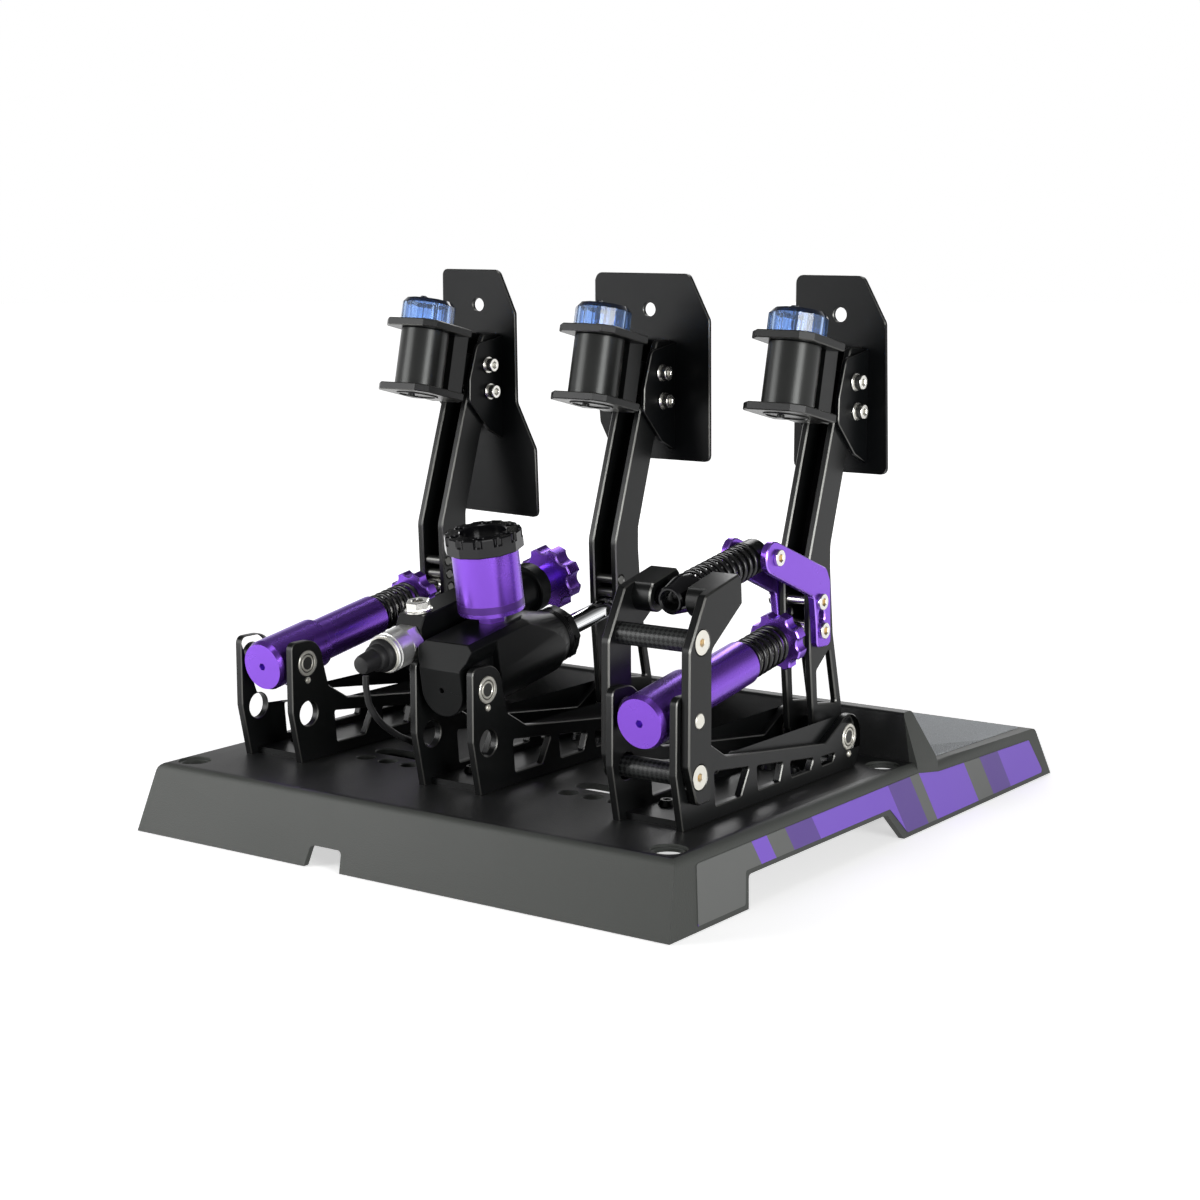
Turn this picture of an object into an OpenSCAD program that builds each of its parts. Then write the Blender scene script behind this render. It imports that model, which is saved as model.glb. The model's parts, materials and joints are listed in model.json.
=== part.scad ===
// Sim racing pedal set: throttle, hydraulic brake and clutch on one moulded base.
// The driver sits on the -Y side. +X is the driver's right, +Z is up.
// The origin is the middle of the footprint, on the floor.

/* [Base] */
// Width of the base across the three pedals
base_w = 400; // [390:1:430]
// Length of the base along the pedals
base_l = 473; // [465:1:490]
// Height of the deck that carries the brackets
deck_h = 42; // [40:0.5:48]
// Wall thickness of the moulded base
shell_wall = 4; // [3:0.25:5]
// Radius of the long top edges of the base
edge_r = 6; // [4.5:0.5:8]
// How far the front wall leans in at the deck
front_lean = 14; // [10:0.5:18]
// How far the rear wall leans in at the heel plate
rear_lean = 17; // [12:0.5:20]
// How far each side wall leans in at the deck
side_lean = 6; // [4:0.5:8]
// Height of the ridge top above the deck
ridge_rise = 29.5; // [24:0.5:34]
// Drop of the heel plate below the deck, next to the ridge
heel_drop = 4; // [3:0.5:6]
// Further drop of the heel plate at its rear edge
heel_fall = 4; // [2:0.5:6]
// Height of the long cut-out in each side wall
side_cut_h = 18.5; // [14:0.5:22]
// Thickness of the grip sheet on the heel plate
grip_t = 0.8; // [0.6:0.1:1.2]
// Thickness of the striped film on each side wall
film_t = 0.4; // [0.3:0.1:0.6]

/* [Mounting holes] */
// Distance across the base between the mounting holes
mount_pitch_x = 358; // [350:1:362]
// Distance along the base between the mounting holes
mount_pitch_y = 239; // [230:1:244]
// Middle of the mounting holes along the base
mount_mid_y = 86.5; // [84:0.5:89]
// Diameter of each mounting hole
mount_hole_d = 17; // [13:0.5:18]
// Diameter of the shallow rim round each mounting hole
mount_rim_d = 20.5; // [19:0.5:23]

/* [Brackets] */
// Distance from one pedal to the next
pedal_pitch = 142.5; // [140:0.5:146]
// Outer width of a pedal bracket
bracket_w = 48; // [46:0.5:52]
// Thickness of the side plates of a bracket
plate_t = 5; // [4:0.25:6]
// Thickness of the floor plate of a bracket
floor_t = 4; // [3:0.25:5]
// Radius of the ear round each bracket pivot
ear_r = 14.3; // [13:0.1:15]
// Position of the arm pivot along the base
rear_pivot_y = -12.4; // [-15:0.1:-10]
// Height of the arm pivot above the deck
rear_pivot_rise = 20.3; // [19.5:0.1:22]
// Position of the cylinder pivot along the base
front_pivot_y = 166; // [163:0.5:169]
// Height of the cylinder pivot above the deck
front_pivot_rise = 62.5; // [60:0.5:65]
// Diameter of the lightening hole under the cylinder pivot
low_hole_d = 16; // [14:0.5:17]
// Outer diameter of the pivot bearings
bearing_d = 16; // [14:0.5:18]
// Diameter of the arm axles and of the cylinder pivot pins
pin_d = 8; // [6:0.25:9]

/* [Pedal arms] */
// Outer width of an arm across its two plates
arm_w = 22; // [20:0.5:24]
// Gap between the two plates of an arm
arm_gap = 13; // [12:0.25:14]
// Forward distance from the arm pivot to the rod holes
rod_hole_y = 21.9; // [20.5:0.1:23.5]
// Height of the middle rod hole above the arm pivot
rod_hole_z = 77.7; // [75:0.1:80]
// Spacing of the three rod holes
rod_hole_pitch = 9; // [8:0.5:10]
// Forward lean of the row of rod holes, over one spacing
rod_hole_lean = 1.3; // [0:0.1:2]
// Diameter of the cross pins in the arm
cross_pin_d = 6; // [5:0.25:7]
// Height of the top of the arm above its pivot
arm_top = 237.7; // [234:0.5:240]

/* [Pedal faces] */
// Height of the top edge of the pedal faces above the arm pivot
face_top = 280.7; // [276:0.5:288]
// Thickness of the pedal face sheet
face_t = 3; // [2.5:0.1:3.5]
// Height of the brake and clutch faces
face_h = 121.5; // [110:0.5:130]
// Height of the longer throttle face
throttle_face_h = 168; // [160:0.5:172]
// Diameter of the hole near the top of each face
face_hole_d = 9; // [7:0.5:11]

/* [Haptic units] */
// Diameter of the vibration motor body
motor_d = 32; // [28:0.5:34]
// Length of the vibration motor body
motor_l = 38; // [36:0.5:40]
// Width of the motor holder plates
holder_w = 43; // [41:0.5:46]
// Thickness of the motor holder plates
holder_t = 5; // [4:0.25:6]
// Width of the clear dome over its corners
dome_d = 36; // [33:0.5:38]
// Height of the clear dome
dome_h = 15; // [12:0.5:17]
// Tilt of the haptic unit towards the driver
motor_tilt = 12.7; // [11:0.1:14]

/* [Throttle and clutch cylinders] */
// Diameter of the thick end of a cylinder
barrel_d = 32; // [30:0.5:34]
// Length of the thick end, from the pivot towards the arm
barrel_l = 32; // [28:0.5:36]
// Diameter of the thin part of a cylinder
tube_d = 27; // [26:0.5:28]
// Distance from the pivot to the spring end of the tube
tube_l = 90.5; // [86:0.5:94]
// Outer diameter of the return spring
spring_d = 25; // [24:0.25:26]
// Wire diameter of the return spring
spring_wire = 3; // [2.4:0.1:3.2]
// Number of turns of the return spring
spring_turns = 6; // [5:0.5:6.5]
// Diameter of the slotted sleeve on the rod
sleeve_d = 15; // [13:0.25:16]
// Diameter of the purple preload wheel
wheel_d = 35.5; // [33:0.5:37.5]
// Thickness of the purple preload wheel
wheel_t = 8.5; // [7:0.25:9]

/* [Brake unit] */
// Width of the brake body
brake_w = 40.6; // [38:0.2:42]
// Width of the lug between the bracket ears
brake_lug_w = 30.6; // [28:0.2:33]
// Distance from the pivot to the thin end of the brake body
brake_l = 92; // [88:0.5:96]
// Diameter of the chrome brake rod
brake_rod_d = 13; // [11:0.25:14]
// Diameter of the fluid reservoir
reservoir_d = 40.5; // [38:0.5:44]
// Height of the fluid reservoir without its cap
reservoir_h = 37.5; // [34:0.5:41]
// Diameter of the reservoir cap
cap_d = 48; // [45.5:0.5:51]
// Height of the reservoir cap
cap_h = 11.5; // [10:0.5:15]
// Diameter of the big brake preload wheel
brake_wheel_d = 41; // [38:0.5:42]
// Diameter of the pressure sensor
sensor_d = 24; // [22:0.5:24]

/* [Clutch assist] */
// Thickness of each tower plate
tower_t = 6; // [5:0.25:7]
// Position of the lower assist pivot along the base
assist_y = 145; // [143:0.5:147]
// Height of the lower assist pivot above the deck
assist_rise = 126; // [124:0.5:128]
// Forward distance from the arm pivot to the upper assist pivot
link_y = 74.4; // [72:0.2:77]
// Height of the upper assist pivot above the arm pivot
link_z = 119.7; // [117:0.1:122]
// Thickness of each purple link plate
link_t = 5; // [4:0.25:6]
// Outer diameter of the assist spring
assist_spring_d = 22; // [21:0.25:22.5]
// Wire diameter of the assist spring
assist_wire = 2.6; // [2:0.1:2.8]
// Number of turns of the assist spring
assist_turns = 10; // [9:0.5:10.5]
// Diameter of the carbon spacer tubes
spacer_d = 13; // [11:0.5:14]

/* [Fits] */
// Radial running clearance of pins, bearings and screws
fit = 0.03; // [0.02:0.01:0.06]
// Gap between parts that pass each other
run_gap = 0.4; // [0.3:0.1:0.6]

/* [Hidden] */
$fn = 48;

black = "#1c1c1f";
charcoal = "#3c3e3c";
grip_grey = "#828792";
film_purple = "#8264dc";
purple = "#6f3cc0";
silver = "#c9ccd0";
chrome = "#dfe3e8";
carbon = "#2a2c2c";
clear_blue = "#b4cdf0";
rubber = "#151517";
board_green = "#1f5a3a";

over = 1;
arc_steps = 4;
throttle_x = pedal_pitch;
clutch_x = -pedal_pitch;
pedal_xs = [throttle_x, 0, clutch_x];
rear_pivot = [rear_pivot_y, deck_h + rear_pivot_rise];
front_pivot = [front_pivot_y, deck_h + front_pivot_rise];
inner_w = bracket_w - 2 * plate_t;
heel_front_h = deck_h - heel_drop;
heel_rear_h = heel_front_h - heel_fall;
ridge_top = deck_h + ridge_rise;
under_deck = deck_h - shell_wall;

// Shapes of the ridge, the cut-outs and the notch along the base
ridge_front_y = rear_pivot_y - ear_r - 23.3;
ridge_rear_y = ridge_front_y - 27;
ridge_crown = 11;
ridge_lean = 5;
ridge_end_inset = 19;
split_y = ridge_front_y - 14;
front_foot_l = 79;
rear_foot_y = ridge_front_y + 25;
notch_x = 46;
notch_w = 28;
notch_h = 12.5;
vent_x = pedal_pitch / 2 + 7.75;
vent_pitch = 18;
vent_hole_d = 12;
vent_hole_y = front_pivot_y - 28.8;
vent_slot = [50.8, 14.8];
vent_slot_y = front_pivot_y - 49.4;

// Brackets
bracket_front_y = front_pivot_y + ear_r;
bracket_floor_front = front_pivot_y + 7;
bracket_rear_y = rear_pivot_y - 8;
low_hole = [front_pivot_y - 0.5, deck_h + 30.5];
floor_screw_ys = [front_pivot_y - 26, rear_pivot_y + 42];
floor_screw_x = 9;
screw_d = 6;
nut_af = 10;
nut_h = 5;
head_d = 10.5;
head_h = 3.3;
grub_d = 4;
grub_drop = 10.7;
ear_corner_r = 4.5;
ear_reach = ear_r * sqrt(2) - ear_corner_r * (sqrt(2) - 1);
rail_front = [front_pivot_y - 37.6, deck_h + 34.9];
rail_rear = [rear_pivot_y + 29, deck_h + 21.3];
window_shares = [0.16, 0.245, 0.26, 0.335];
window_rib = 9;
window_low = deck_h + 8;
rail_rim = 8;

// Arms, in the frame of the arm pivot: the rods sit in the lowest rod hole
rod_hole_used = -1;
arm_nose = rod_hole_y + cross_pin_d / 2 + 2.5;
hub_r = 10;
arm_foot_r = 14;
face_y = -46;
face_flange_t = 3;
bolt_d = 5;
bolt_head_d = 9;
washer_d = 11.5;
washer_t = 1.3;
bolt_head_h = 4.7;
face_bolts = [[-17.6, 217], [-19.6, 198.9]];
face_hole_at = [6.6, face_top - 24];
face_shoulder = face_top - 29;
throttle_waist = face_top - 90;
throttle_hip = face_top - 121;

// Haptic unit: its centre from the arm pivot, then sizes from its own centre
motor_at = [35.1, arm_top - 14.6];
holder_back = -31;
holder_block_w = 24;
stem_w = arm_gap - 2 * fit;
stem_h = 22;
stem_reach = 50;

// Cylinder of the throttle and the clutch, along its own axis from the front pivot
cap_end = -15.7;
cap_bevel = [1.4, 3.5];
sleeve_gap = 1;
bore_start = 27;
sleeve_in = 42;
eye_r = 5.6;
wheel_clear = 21.5;
thread_d = 12;

// Brake unit
body_top = 28;
body_top_half = 16;
body_side_h = 24.8;
body_start = 18;
body_flare = [18.3, 18.7];
lug_end = 13.5;
lug_mouth = 13.9;
facet_top_u = -3.7;
pocket_r = ear_reach + 0.5;
cone_lean = 0.35;
collar_r = 17.2;
collar_l = 11;
brake_bore_u = 40;
reservoir_u = 41;
reservoir_port_d = 10;
neck_h = 7;
side_x = 35;
side_w = 20;
side_axis = 20;
side_body_top = 38;
side_body_low = -1;
side_body_start = 3;
side_body_end = 92;
side_barrel_d = 26;
side_barrel_end = 130;
brake_wheel_u = 141;
brake_wheel_t = 12;
sensor_x = 34.6;
sensor_w = 22.4;
sensor_l = 24;
plug_l = 22;
rod_gap = 0.3;

// Clutch tower and assist
assist_pivot = [assist_y, deck_h + assist_rise];
link_pivot = rear_pivot + [link_y, link_z];
assist_len = norm(link_pivot - assist_pivot);
assist_tilt = atan2(link_pivot[1] - assist_pivot[1], assist_pivot[0] - link_pivot[0]);
tower_screw_high = [front_pivot_y - 2, front_pivot[1] + 43.7];
tower_x = bracket_w / 2;
boss_inner = 11.6;
boss_r = 9.5;
guide_w = 2 * (boss_inner - run_gap);
guide_bore = 11.5;
guide_nose = [8.3, -7];
guide_seat = 13;
assist_rod_d = 7;
assist_rod_l = 60;
assist_cap_r = assist_spring_d / 2 - 0.6;
assist_cap_back = 10;
assist_cap_crown = 3.5;
trunnion_d = 8;

// Controller under the deck
case_x = 66;
case_y = front_pivot_y - 48;
case_size = [90, 60, 18];
case_wall = 2;
board_t = 1.6;
socket_size = [9, 7, 3.4];

// Lead of the pressure sensor, from the plug down through the deck
cable_d = 4;
grommet_at = [32, 138];
cable_route = [
    [34, 208, 113], [34, 208, 108], [34, 207, 102], [34, 205, 95], [33, 201, 88], [33, 195, 82],
    [33, 188, 77], [33, 180, 72], [32, 172, 68], [32, 164, 64], [32, 156, 61], [32, 149, 58],
    [32, 143, 54], [32, 139, 49], [32, 138, 44], [32, 138, 38], [32, 138, 32]
];

function unit(v) = v / norm(v);

// Points of an arc that rounds corner b, between a and c
function fillet(a, b, c, r) =
    let (u = unit(a - b), v = unit(c - b), half = acos(u * v) / 2)
    let (p = b + u * r / tan(half), o = b + unit(u + v) * r / sin(half))
    let (q = b + v * r / tan(half))
    let (from = atan2(p[1] - o[1], p[0] - o[0]), to = atan2(q[1] - o[1], q[0] - o[0]))
    let (turn = (to - from + 540) % 360 - 180)
    [for (k = [0:arc_steps]) o + r * [cos(from + turn * k / arc_steps), sin(from + turn * k / arc_steps)]];

function flat(p) = [p[0], p[1]];

// Outline with each corner rounded by its third number, where it has one
function rounded(pts) = let (n = len(pts)) [
    for (i = [0:n - 1])
        each (len(pts[i]) > 2
            ? fillet(flat(pts[(i + n - 1) % n]), flat(pts[i]), flat(pts[(i + 1) % n]), pts[i][2])
            : [pts[i]])
];

// An outline in Y and Z, extruded from x0 to x1
module slab_x(x0, x1) {
    translate([x0, 0, 0]) rotate([90, 0, 90]) linear_extrude(height = x1 - x0) children();
}

// An outline in X and Z, extruded from y0 to y1
module slab_y(y0, y1) {
    translate([0, y1, 0]) rotate([90, 0, 0]) linear_extrude(height = y1 - y0) children();
}

// A round bar along X through a point in Y and Z
module bar_x(p, d, x0, x1) {
    translate([x0, p[0], p[1]]) rotate([0, 90, 0]) cylinder(d = d, h = x1 - x0);
}

module both_sides() {
    children();
    mirror([1, 0, 0]) children();
}

// Outlines of the base, each with an inset for its hollow inside
function front_wall_y(z) = base_l / 2 - front_lean * z / deck_h;
function rear_wall_y(z) = -base_l / 2 + rear_lean * z / heel_rear_h;
function side_wall_x(z) = base_w / 2 - side_lean * z / deck_h;
function heel_z(y) = heel_rear_h + heel_fall * (y - rear_wall_y(heel_rear_h)) / (ridge_rear_y - rear_wall_y(heel_rear_h));

function deck_outline(t) = [
    [split_y - t, -t],
    [front_wall_y(-t) - t, -t],
    [front_wall_y(deck_h - t) - t, deck_h - t, edge_r - t / 2],
    [split_y - t, deck_h - t]
];

function heel_outline(t) = [
    [split_y + t, -t],
    [split_y + t, heel_z(split_y) - t],
    [rear_wall_y(heel_rear_h - t) + t, heel_rear_h - t, edge_r - t / 2],
    [rear_wall_y(-t) + t, -t]
];

function ridge_outline(t) = [
    [ridge_front_y - t, heel_rear_h - shell_wall - 2 * t],
    [ridge_front_y - t, deck_h - t],
    [ridge_front_y - ridge_lean - 0.6 * t, ridge_top - t, 3],
    [ridge_front_y - ridge_lean - ridge_crown + 0.6 * t, ridge_top - t, 3],
    [ridge_rear_y + t, heel_front_h - t],
    [ridge_rear_y + t, heel_rear_h - shell_wall - 2 * t]
];

module cross_section(t, h) {
    polygon(rounded([
        [-side_wall_x(-t) + t, -t],
        [side_wall_x(-t) - t, -t],
        [side_wall_x(h - t) - t, h - t, edge_r - t / 2],
        [-side_wall_x(h - t) + t, h - t, edge_r - t / 2]
    ]));
}

module ridge_section(t) {
    low = heel_rear_h - shell_wall - 2 * t;
    polygon([
        [-side_wall_x(low) + t, low],
        [side_wall_x(low) - t, low],
        [side_wall_x(deck_h - t) - t, deck_h - t],
        [base_w / 2 - ridge_end_inset - t, ridge_top - t],
        [-base_w / 2 + ridge_end_inset + t, ridge_top - t],
        [-side_wall_x(deck_h - t) + t, deck_h - t]
    ]);
}

module base_block(t) {
    intersection() {
        slab_x(-base_w, base_w) polygon(rounded(deck_outline(t)));
        slab_y(-base_l, base_l) cross_section(t, deck_h);
    }
    intersection() {
        slab_x(-base_w, base_w) polygon(rounded(heel_outline(t)));
        slab_y(-base_l, base_l) cross_section(t, heel_front_h);
    }
    intersection() {
        slab_x(-base_w, base_w) polygon(rounded(ridge_outline(t)));
        slab_y(-base_l, base_l) ridge_section(t);
    }
}

module mount_places() {
    for (x = [-mount_pitch_x / 2, mount_pitch_x / 2], y = [-mount_pitch_y / 2, mount_pitch_y / 2])
        translate([x, mount_mid_y + y, deck_h]) children();
}

// A slot with round ends, cut down through the deck
module deck_slot(x, y, length, width) {
    translate([x - (length - width) / 2, y, under_deck - over]) cylinder(d = width, h = shell_wall + 2 * over);
    translate([x + (length - width) / 2, y, under_deck - over]) cylinder(d = width, h = shell_wall + 2 * over);
    translate([x - (length - width) / 2, y - width / 2, under_deck - over])
        cube([length - width, width, shell_wall + 2 * over]);
}

module base_shell() {
    color(charcoal) difference() {
        base_block(0);
        base_block(shell_wall);
        slab_x(-base_w, base_w) polygon(rounded([
            [base_l / 2 - front_foot_l, -over],
            [base_l / 2 - front_foot_l - 4, side_cut_h, 3],
            [rear_foot_y + 19, side_cut_h, 3],
            [rear_foot_y, -over]
        ]));
        slab_y(base_l / 2 - 30, base_l / 2 + over) polygon(rounded([
            [notch_x - notch_w / 2, -over],
            [notch_x - notch_w / 2 + 2, notch_h, 3],
            [notch_x + notch_w / 2 - 2, notch_h, 3],
            [notch_x + notch_w / 2, -over]
        ]));
        mount_places() {
            translate([0, 0, -shell_wall - over]) cylinder(d = mount_hole_d, h = shell_wall + 2 * over);
            translate([0, 0, -1.5]) cylinder(d = mount_rim_d, h = 1.5 + over);
        }
        for (side = [-1, 1]) {
            deck_slot(side * vent_x, vent_slot_y, vent_slot[0], vent_slot[1]);
            for (k = [-1:1]) translate([side * vent_x + k * vent_pitch, vent_hole_y, under_deck - over])
                cylinder(d = vent_hole_d, h = shell_wall + 2 * over);
        }
        floor_screw_places() cylinder(d = screw_d + 2 * fit, h = 2 * shell_wall, center = true);
        translate([grommet_at[0], grommet_at[1], under_deck - over])
            cylinder(d = cable_d + 4, h = shell_wall + 2 * over);
    }
}

// Two sheets on the sloping heel plate, parted by a slanted seam
module heel_grip() {
    front = ridge_rear_y - 4;
    back = rear_wall_y(heel_rear_h) + 8;
    color(grip_grey) difference() {
        slab_x(-base_w / 2 + 14, base_w / 2 - 14) polygon([
            [front, heel_z(front)], [front, heel_z(front) + grip_t],
            [back, heel_z(back) + grip_t], [back, heel_z(back)]
        ]);
        translate([-60, (front + back) / 2, heel_rear_h]) rotate([0, 0, 62])
            cube([base_w, 1.2, 40], center = true);
    }
}

// Striped films on the leaning side walls
module side_films() {
    lean = atan(side_lean / deck_h);
    front = base_l / 2;
    color(film_purple) both_sides()
        translate([base_w / 2, 0, 0]) rotate([0, -lean, 0]) slab_x(0, film_t) polygon(rounded([
            [front - 28, 3], [front - 33, deck_h - edge_r, 2], [ridge_front_y, deck_h - edge_r],
            [ridge_rear_y, heel_front_h - edge_r], [rear_wall_y(heel_rear_h) + 12, heel_rear_h - edge_r, 2],
            [-front + 12, 3, 2], [rear_foot_y - 4, 3, 2], [rear_foot_y + 15, side_cut_h + 3, 2],
            [front - front_foot_l - 1, side_cut_h + 3, 2], [front - front_foot_l + 3, 3, 2]
        ]));
}

module controller_case() {
    low = under_deck - case_size[2];
    color(black) difference() {
        translate([case_x - case_size[0] / 2, case_y - case_size[1] / 2, low]) cube(case_size);
        translate([case_x - case_size[0] / 2 + case_wall, case_y - case_size[1] / 2 + case_wall, low + case_wall])
            cube([case_size[0] - 2 * case_wall, case_size[1] - 2 * case_wall, case_size[2]]);
        translate([case_x - socket_size[0] / 2, case_y + case_size[1] / 2 - 2 * case_wall, low + case_wall + 2 + board_t])
            cube([socket_size[0], 3 * case_wall, socket_size[2]]);
    }
}

module controller_board() {
    low = under_deck - case_size[2] + case_wall;
    color(board_green) {
        translate([case_x - 35, case_y - 24, low + 2]) cube([70, 48, board_t]);
        for (x = [-30, 30], y = [-19, 19])
            translate([case_x + x, case_y + y, low]) cylinder(d = 5, h = 2.5);
        translate([case_x - 8, case_y - 12, low + 2]) cube([14, 14, board_t + 1.2]);
        translate([case_x - 26, case_y - 18, low + 2]) cube([8, 22, board_t + 5]);
    }
}

module usb_socket() {
    low = under_deck - case_size[2] + case_wall + 2 + board_t;
    color(silver) difference() {
        translate([case_x - socket_size[0] / 2 + fit, case_y + case_size[1] / 2 - socket_size[1], low])
            cube([socket_size[0] - 2 * fit, socket_size[1], socket_size[2] - fit]);
        translate([case_x - socket_size[0] / 2 + 0.8, case_y + case_size[1] / 2 - socket_size[1] + 1.5, low + 0.6])
            cube([socket_size[0] - 1.6, socket_size[1], socket_size[2] - 1.2]);
    }
}

module cable_grommet() {
    color(rubber) translate([grommet_at[0], grommet_at[1], 0]) difference() {
        union() {
            translate([0, 0, deck_h]) cylinder(d1 = cable_d + 8, d2 = cable_d + 6, h = 2.5);
            translate([0, 0, under_deck]) cylinder(d = cable_d + 4 - 2 * fit, h = shell_wall + over);
        }
        translate([0, 0, under_deck - over]) cylinder(d = cable_d + 2, h = shell_wall + 5);
    }
}

// Side plate of a bracket: two ears, a rail between them and its windows
module bracket_outline() {
    difference() {
        union() {
            translate(rear_pivot) circle(r = ear_r);
            translate(front_pivot) circle(r = ear_r);
            polygon(rounded([
                [bracket_front_y, front_pivot[1] + ear_r, ear_corner_r],
                [bracket_front_y, deck_h + 33, 6],
                [bracket_floor_front, deck_h],
                [bracket_rear_y, deck_h],
                [rear_pivot_y - ear_r, rear_pivot[1] - 8, 3],
                [rear_pivot_y - ear_r, rear_pivot[1]],
                [rear_pivot_y + 9, rear_pivot[1] + 11],
                concat(rail_rear, 6),
                concat(rail_front, 8),
                [front_pivot_y - ear_r - 5, front_pivot[1] - 17, 4],
                [front_pivot_y - ear_r, front_pivot[1]],
                [front_pivot_y, front_pivot[1] + ear_r]
            ]));
        }
        bracket_windows();
    }
}

// Slanted windows that grow towards the front of the rail
module bracket_windows() {
    start = rear_pivot_y + 16;
    span = low_hole[0] - low_hole_d / 2 - 17 - start - 3 * window_rib;
    rise = (rail_front[1] - rail_rear[1]) / (rail_front[0] - rail_rear[0]);
    for (i = [0:3]) {
        y0 = start + i * window_rib + span * share_before(i);
        y1 = y0 + span * window_shares[i];
        top0 = rail_rear[1] - rail_rim + rise * max(0, y0 - rail_rear[0]);
        top1 = rail_rear[1] - rail_rim + rise * max(0, y1 - rail_rear[0]);
        polygon(rounded([
            [y0 + 4 + (i == 3 ? 5 : 0), window_low, 1.5], [y1 - 1, window_low, 1.5],
            [y1 + 1, top1, 1.5], [y0, top0, 1.5]
        ]));
    }
}

function share_before(i) = i == 0 ? 0 : window_shares[i - 1] + share_before(i - 1);

module floor_screw_places() {
    for (px = pedal_xs, x = [-floor_screw_x, floor_screw_x], y = floor_screw_ys)
        translate([px + x, y, under_deck]) children();
}

module bracket(px) {
    half = bracket_w / 2;
    color(black) translate([px, 0, 0]) difference() {
        union() {
            both_sides() slab_x(half - plate_t, half) bracket_outline();
            translate([-inner_w / 2 - over, bracket_rear_y + 6, deck_h])
                cube([inner_w + 2 * over, bracket_floor_front - bracket_rear_y - 12, floor_t]);
        }
        bar_x(rear_pivot, bearing_d + 2 * fit, -half - over, half + over);
        bar_x(front_pivot, bearing_d + 2 * fit, -half - over, half + over);
        bar_x(low_hole, low_hole_d, -half - over, half + over);
        for (p = [rear_pivot, front_pivot])
            bar_x(p - [0, grub_drop], grub_d + 2 * fit, -half - over, half + over);
        for (x = [-floor_screw_x, floor_screw_x], y = floor_screw_ys)
            translate([x, y, deck_h - over]) cylinder(d = screw_d + 2 * fit, h = floor_t + 2 * over);
    }
}

module throttle_bracket() {
    bracket(throttle_x);
}

module brake_bracket() {
    bracket(0);
}

module clutch_bracket() {
    bracket(clutch_x);
}

// A shielded ball bearing, drawn as one ring with a groove between its races
module bearing() {
    rotate_extrude() difference() {
        translate([pin_d / 2 + fit, 0]) square([(bearing_d - pin_d) / 2 - fit, plate_t]);
        translate([pin_d / 2 + 1.2, -over]) square([(bearing_d - pin_d) / 2 - 2.5, over + 0.4]);
        translate([pin_d / 2 + 1.2, plate_t - 0.4]) square([(bearing_d - pin_d) / 2 - 2.5, over]);
    }
}

module pivot_bearings() {
    color(silver) for (px = pedal_xs, p = [rear_pivot, front_pivot], x = [-bracket_w / 2, bracket_w / 2 - plate_t])
        translate([px + x, p[0], p[1]]) rotate([0, 90, 0]) bearing();
}

// Floor screws with their nuts under the deck, and the grub screws below each bearing
module bracket_screws() {
    color(silver) {
        floor_screw_places() {
            translate([0, 0, -nut_h]) cylinder(d = screw_d, h = nut_h + shell_wall + floor_t + 0.2);
            difference() {
                translate([0, 0, shell_wall + floor_t]) cylinder(d1 = head_d, d2 = head_d - 3, h = head_h);
                translate([0, 0, shell_wall + floor_t + head_h - 1.8]) cylinder(d = 4.6, h = 3, $fn = 6);
            }
            translate([0, 0, -nut_h]) difference() {
                cylinder(d = nut_af / cos(30), h = nut_h, $fn = 6);
                translate([0, 0, -over]) cylinder(d = screw_d - 0.2, h = nut_h + 2 * over);
            }
        }
        for (px = pedal_xs, p = [rear_pivot, front_pivot], s = [-1, 1])
            translate([px, 0, 0]) grub(p - [0, grub_drop], s);
    }
}

module grub(p, s) {
    face = s > 0 ? bracket_w / 2 - plate_t : -bracket_w / 2 + 0.2;
    difference() {
        bar_x(p, grub_d, face, face + plate_t - 0.2);
        bar_x(p, 2, s > 0 ? bracket_w / 2 - 2 : -bracket_w / 2 - over, s > 0 ? bracket_w / 2 + over : -bracket_w / 2 + 2);
    }
}

module front_pins() {
    color(silver) for (px = pedal_xs) {
        reach = bracket_w / 2 + (px == clutch_x ? tower_t : 0);
        translate([px, 0, 0]) bar_x(front_pivot, pin_d, -reach, reach);
    }
}

// Pedal arm: two plates, a web along the driver's side and a hub round the axle
function arm_front_edge() = [
    [20.6, 4.7], [arm_nose - 0.9, 54.7, 12], [arm_nose + 1.9, 112, 16], [2.6, 191.6], [-17.4, arm_top, 4]
];
function arm_rear_edge() = [
    [-33.3, arm_top, 3], [-33.3, 199, 6], [-14.4, 173.7, 20], [3.3, 118.7, 16], [3.2, 105], [-1.2, 63.7, 10],
    [-12.6, 18.7, 6]
];

module arm_outline() {
    difference() {
        union() {
            circle(r = arm_foot_r);
            polygon(rounded(concat(arm_front_edge(), arm_rear_edge(), [[-arm_foot_r, 2], [12, -4]])));
        }
        polygon(rounded([[-6.5, 18.8, 1.5], [16.4, 22.2, 1.5], [18.2, 42.8, 1.5], [2.6, 54.6, 1.5]]));
    }
}

function rod_hole(k) = [rod_hole_y + k * rod_hole_lean, rod_hole_z + k * rod_hole_pitch];

module arm(px) {
    color(black) translate([px, rear_pivot[0], rear_pivot[1]]) difference() {
        union() {
            both_sides() slab_x(arm_gap / 2, arm_w / 2) arm_outline();
            slab_x(-arm_gap / 2 - over, arm_gap / 2 + over) intersection() {
                arm_outline();
                polygon([[-14, 60], [6, 60], [8, 104], [8, 119], [-2, 152], [-16, 190], [-34, 190]]);
            }
            bar_x([0, 0], 2 * hub_r, -arm_gap / 2 - over, arm_gap / 2 + over);
        }
        bar_x([0, 0], pin_d + 2 * fit, -arm_w, arm_w);
        for (k = [-1:1]) bar_x(rod_hole(k), cross_pin_d + 2 * fit, -arm_w, arm_w);
        for (p = face_bolts) bar_x(p, bolt_d + 2 * fit, -arm_w, arm_w);
    }
}

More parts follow.
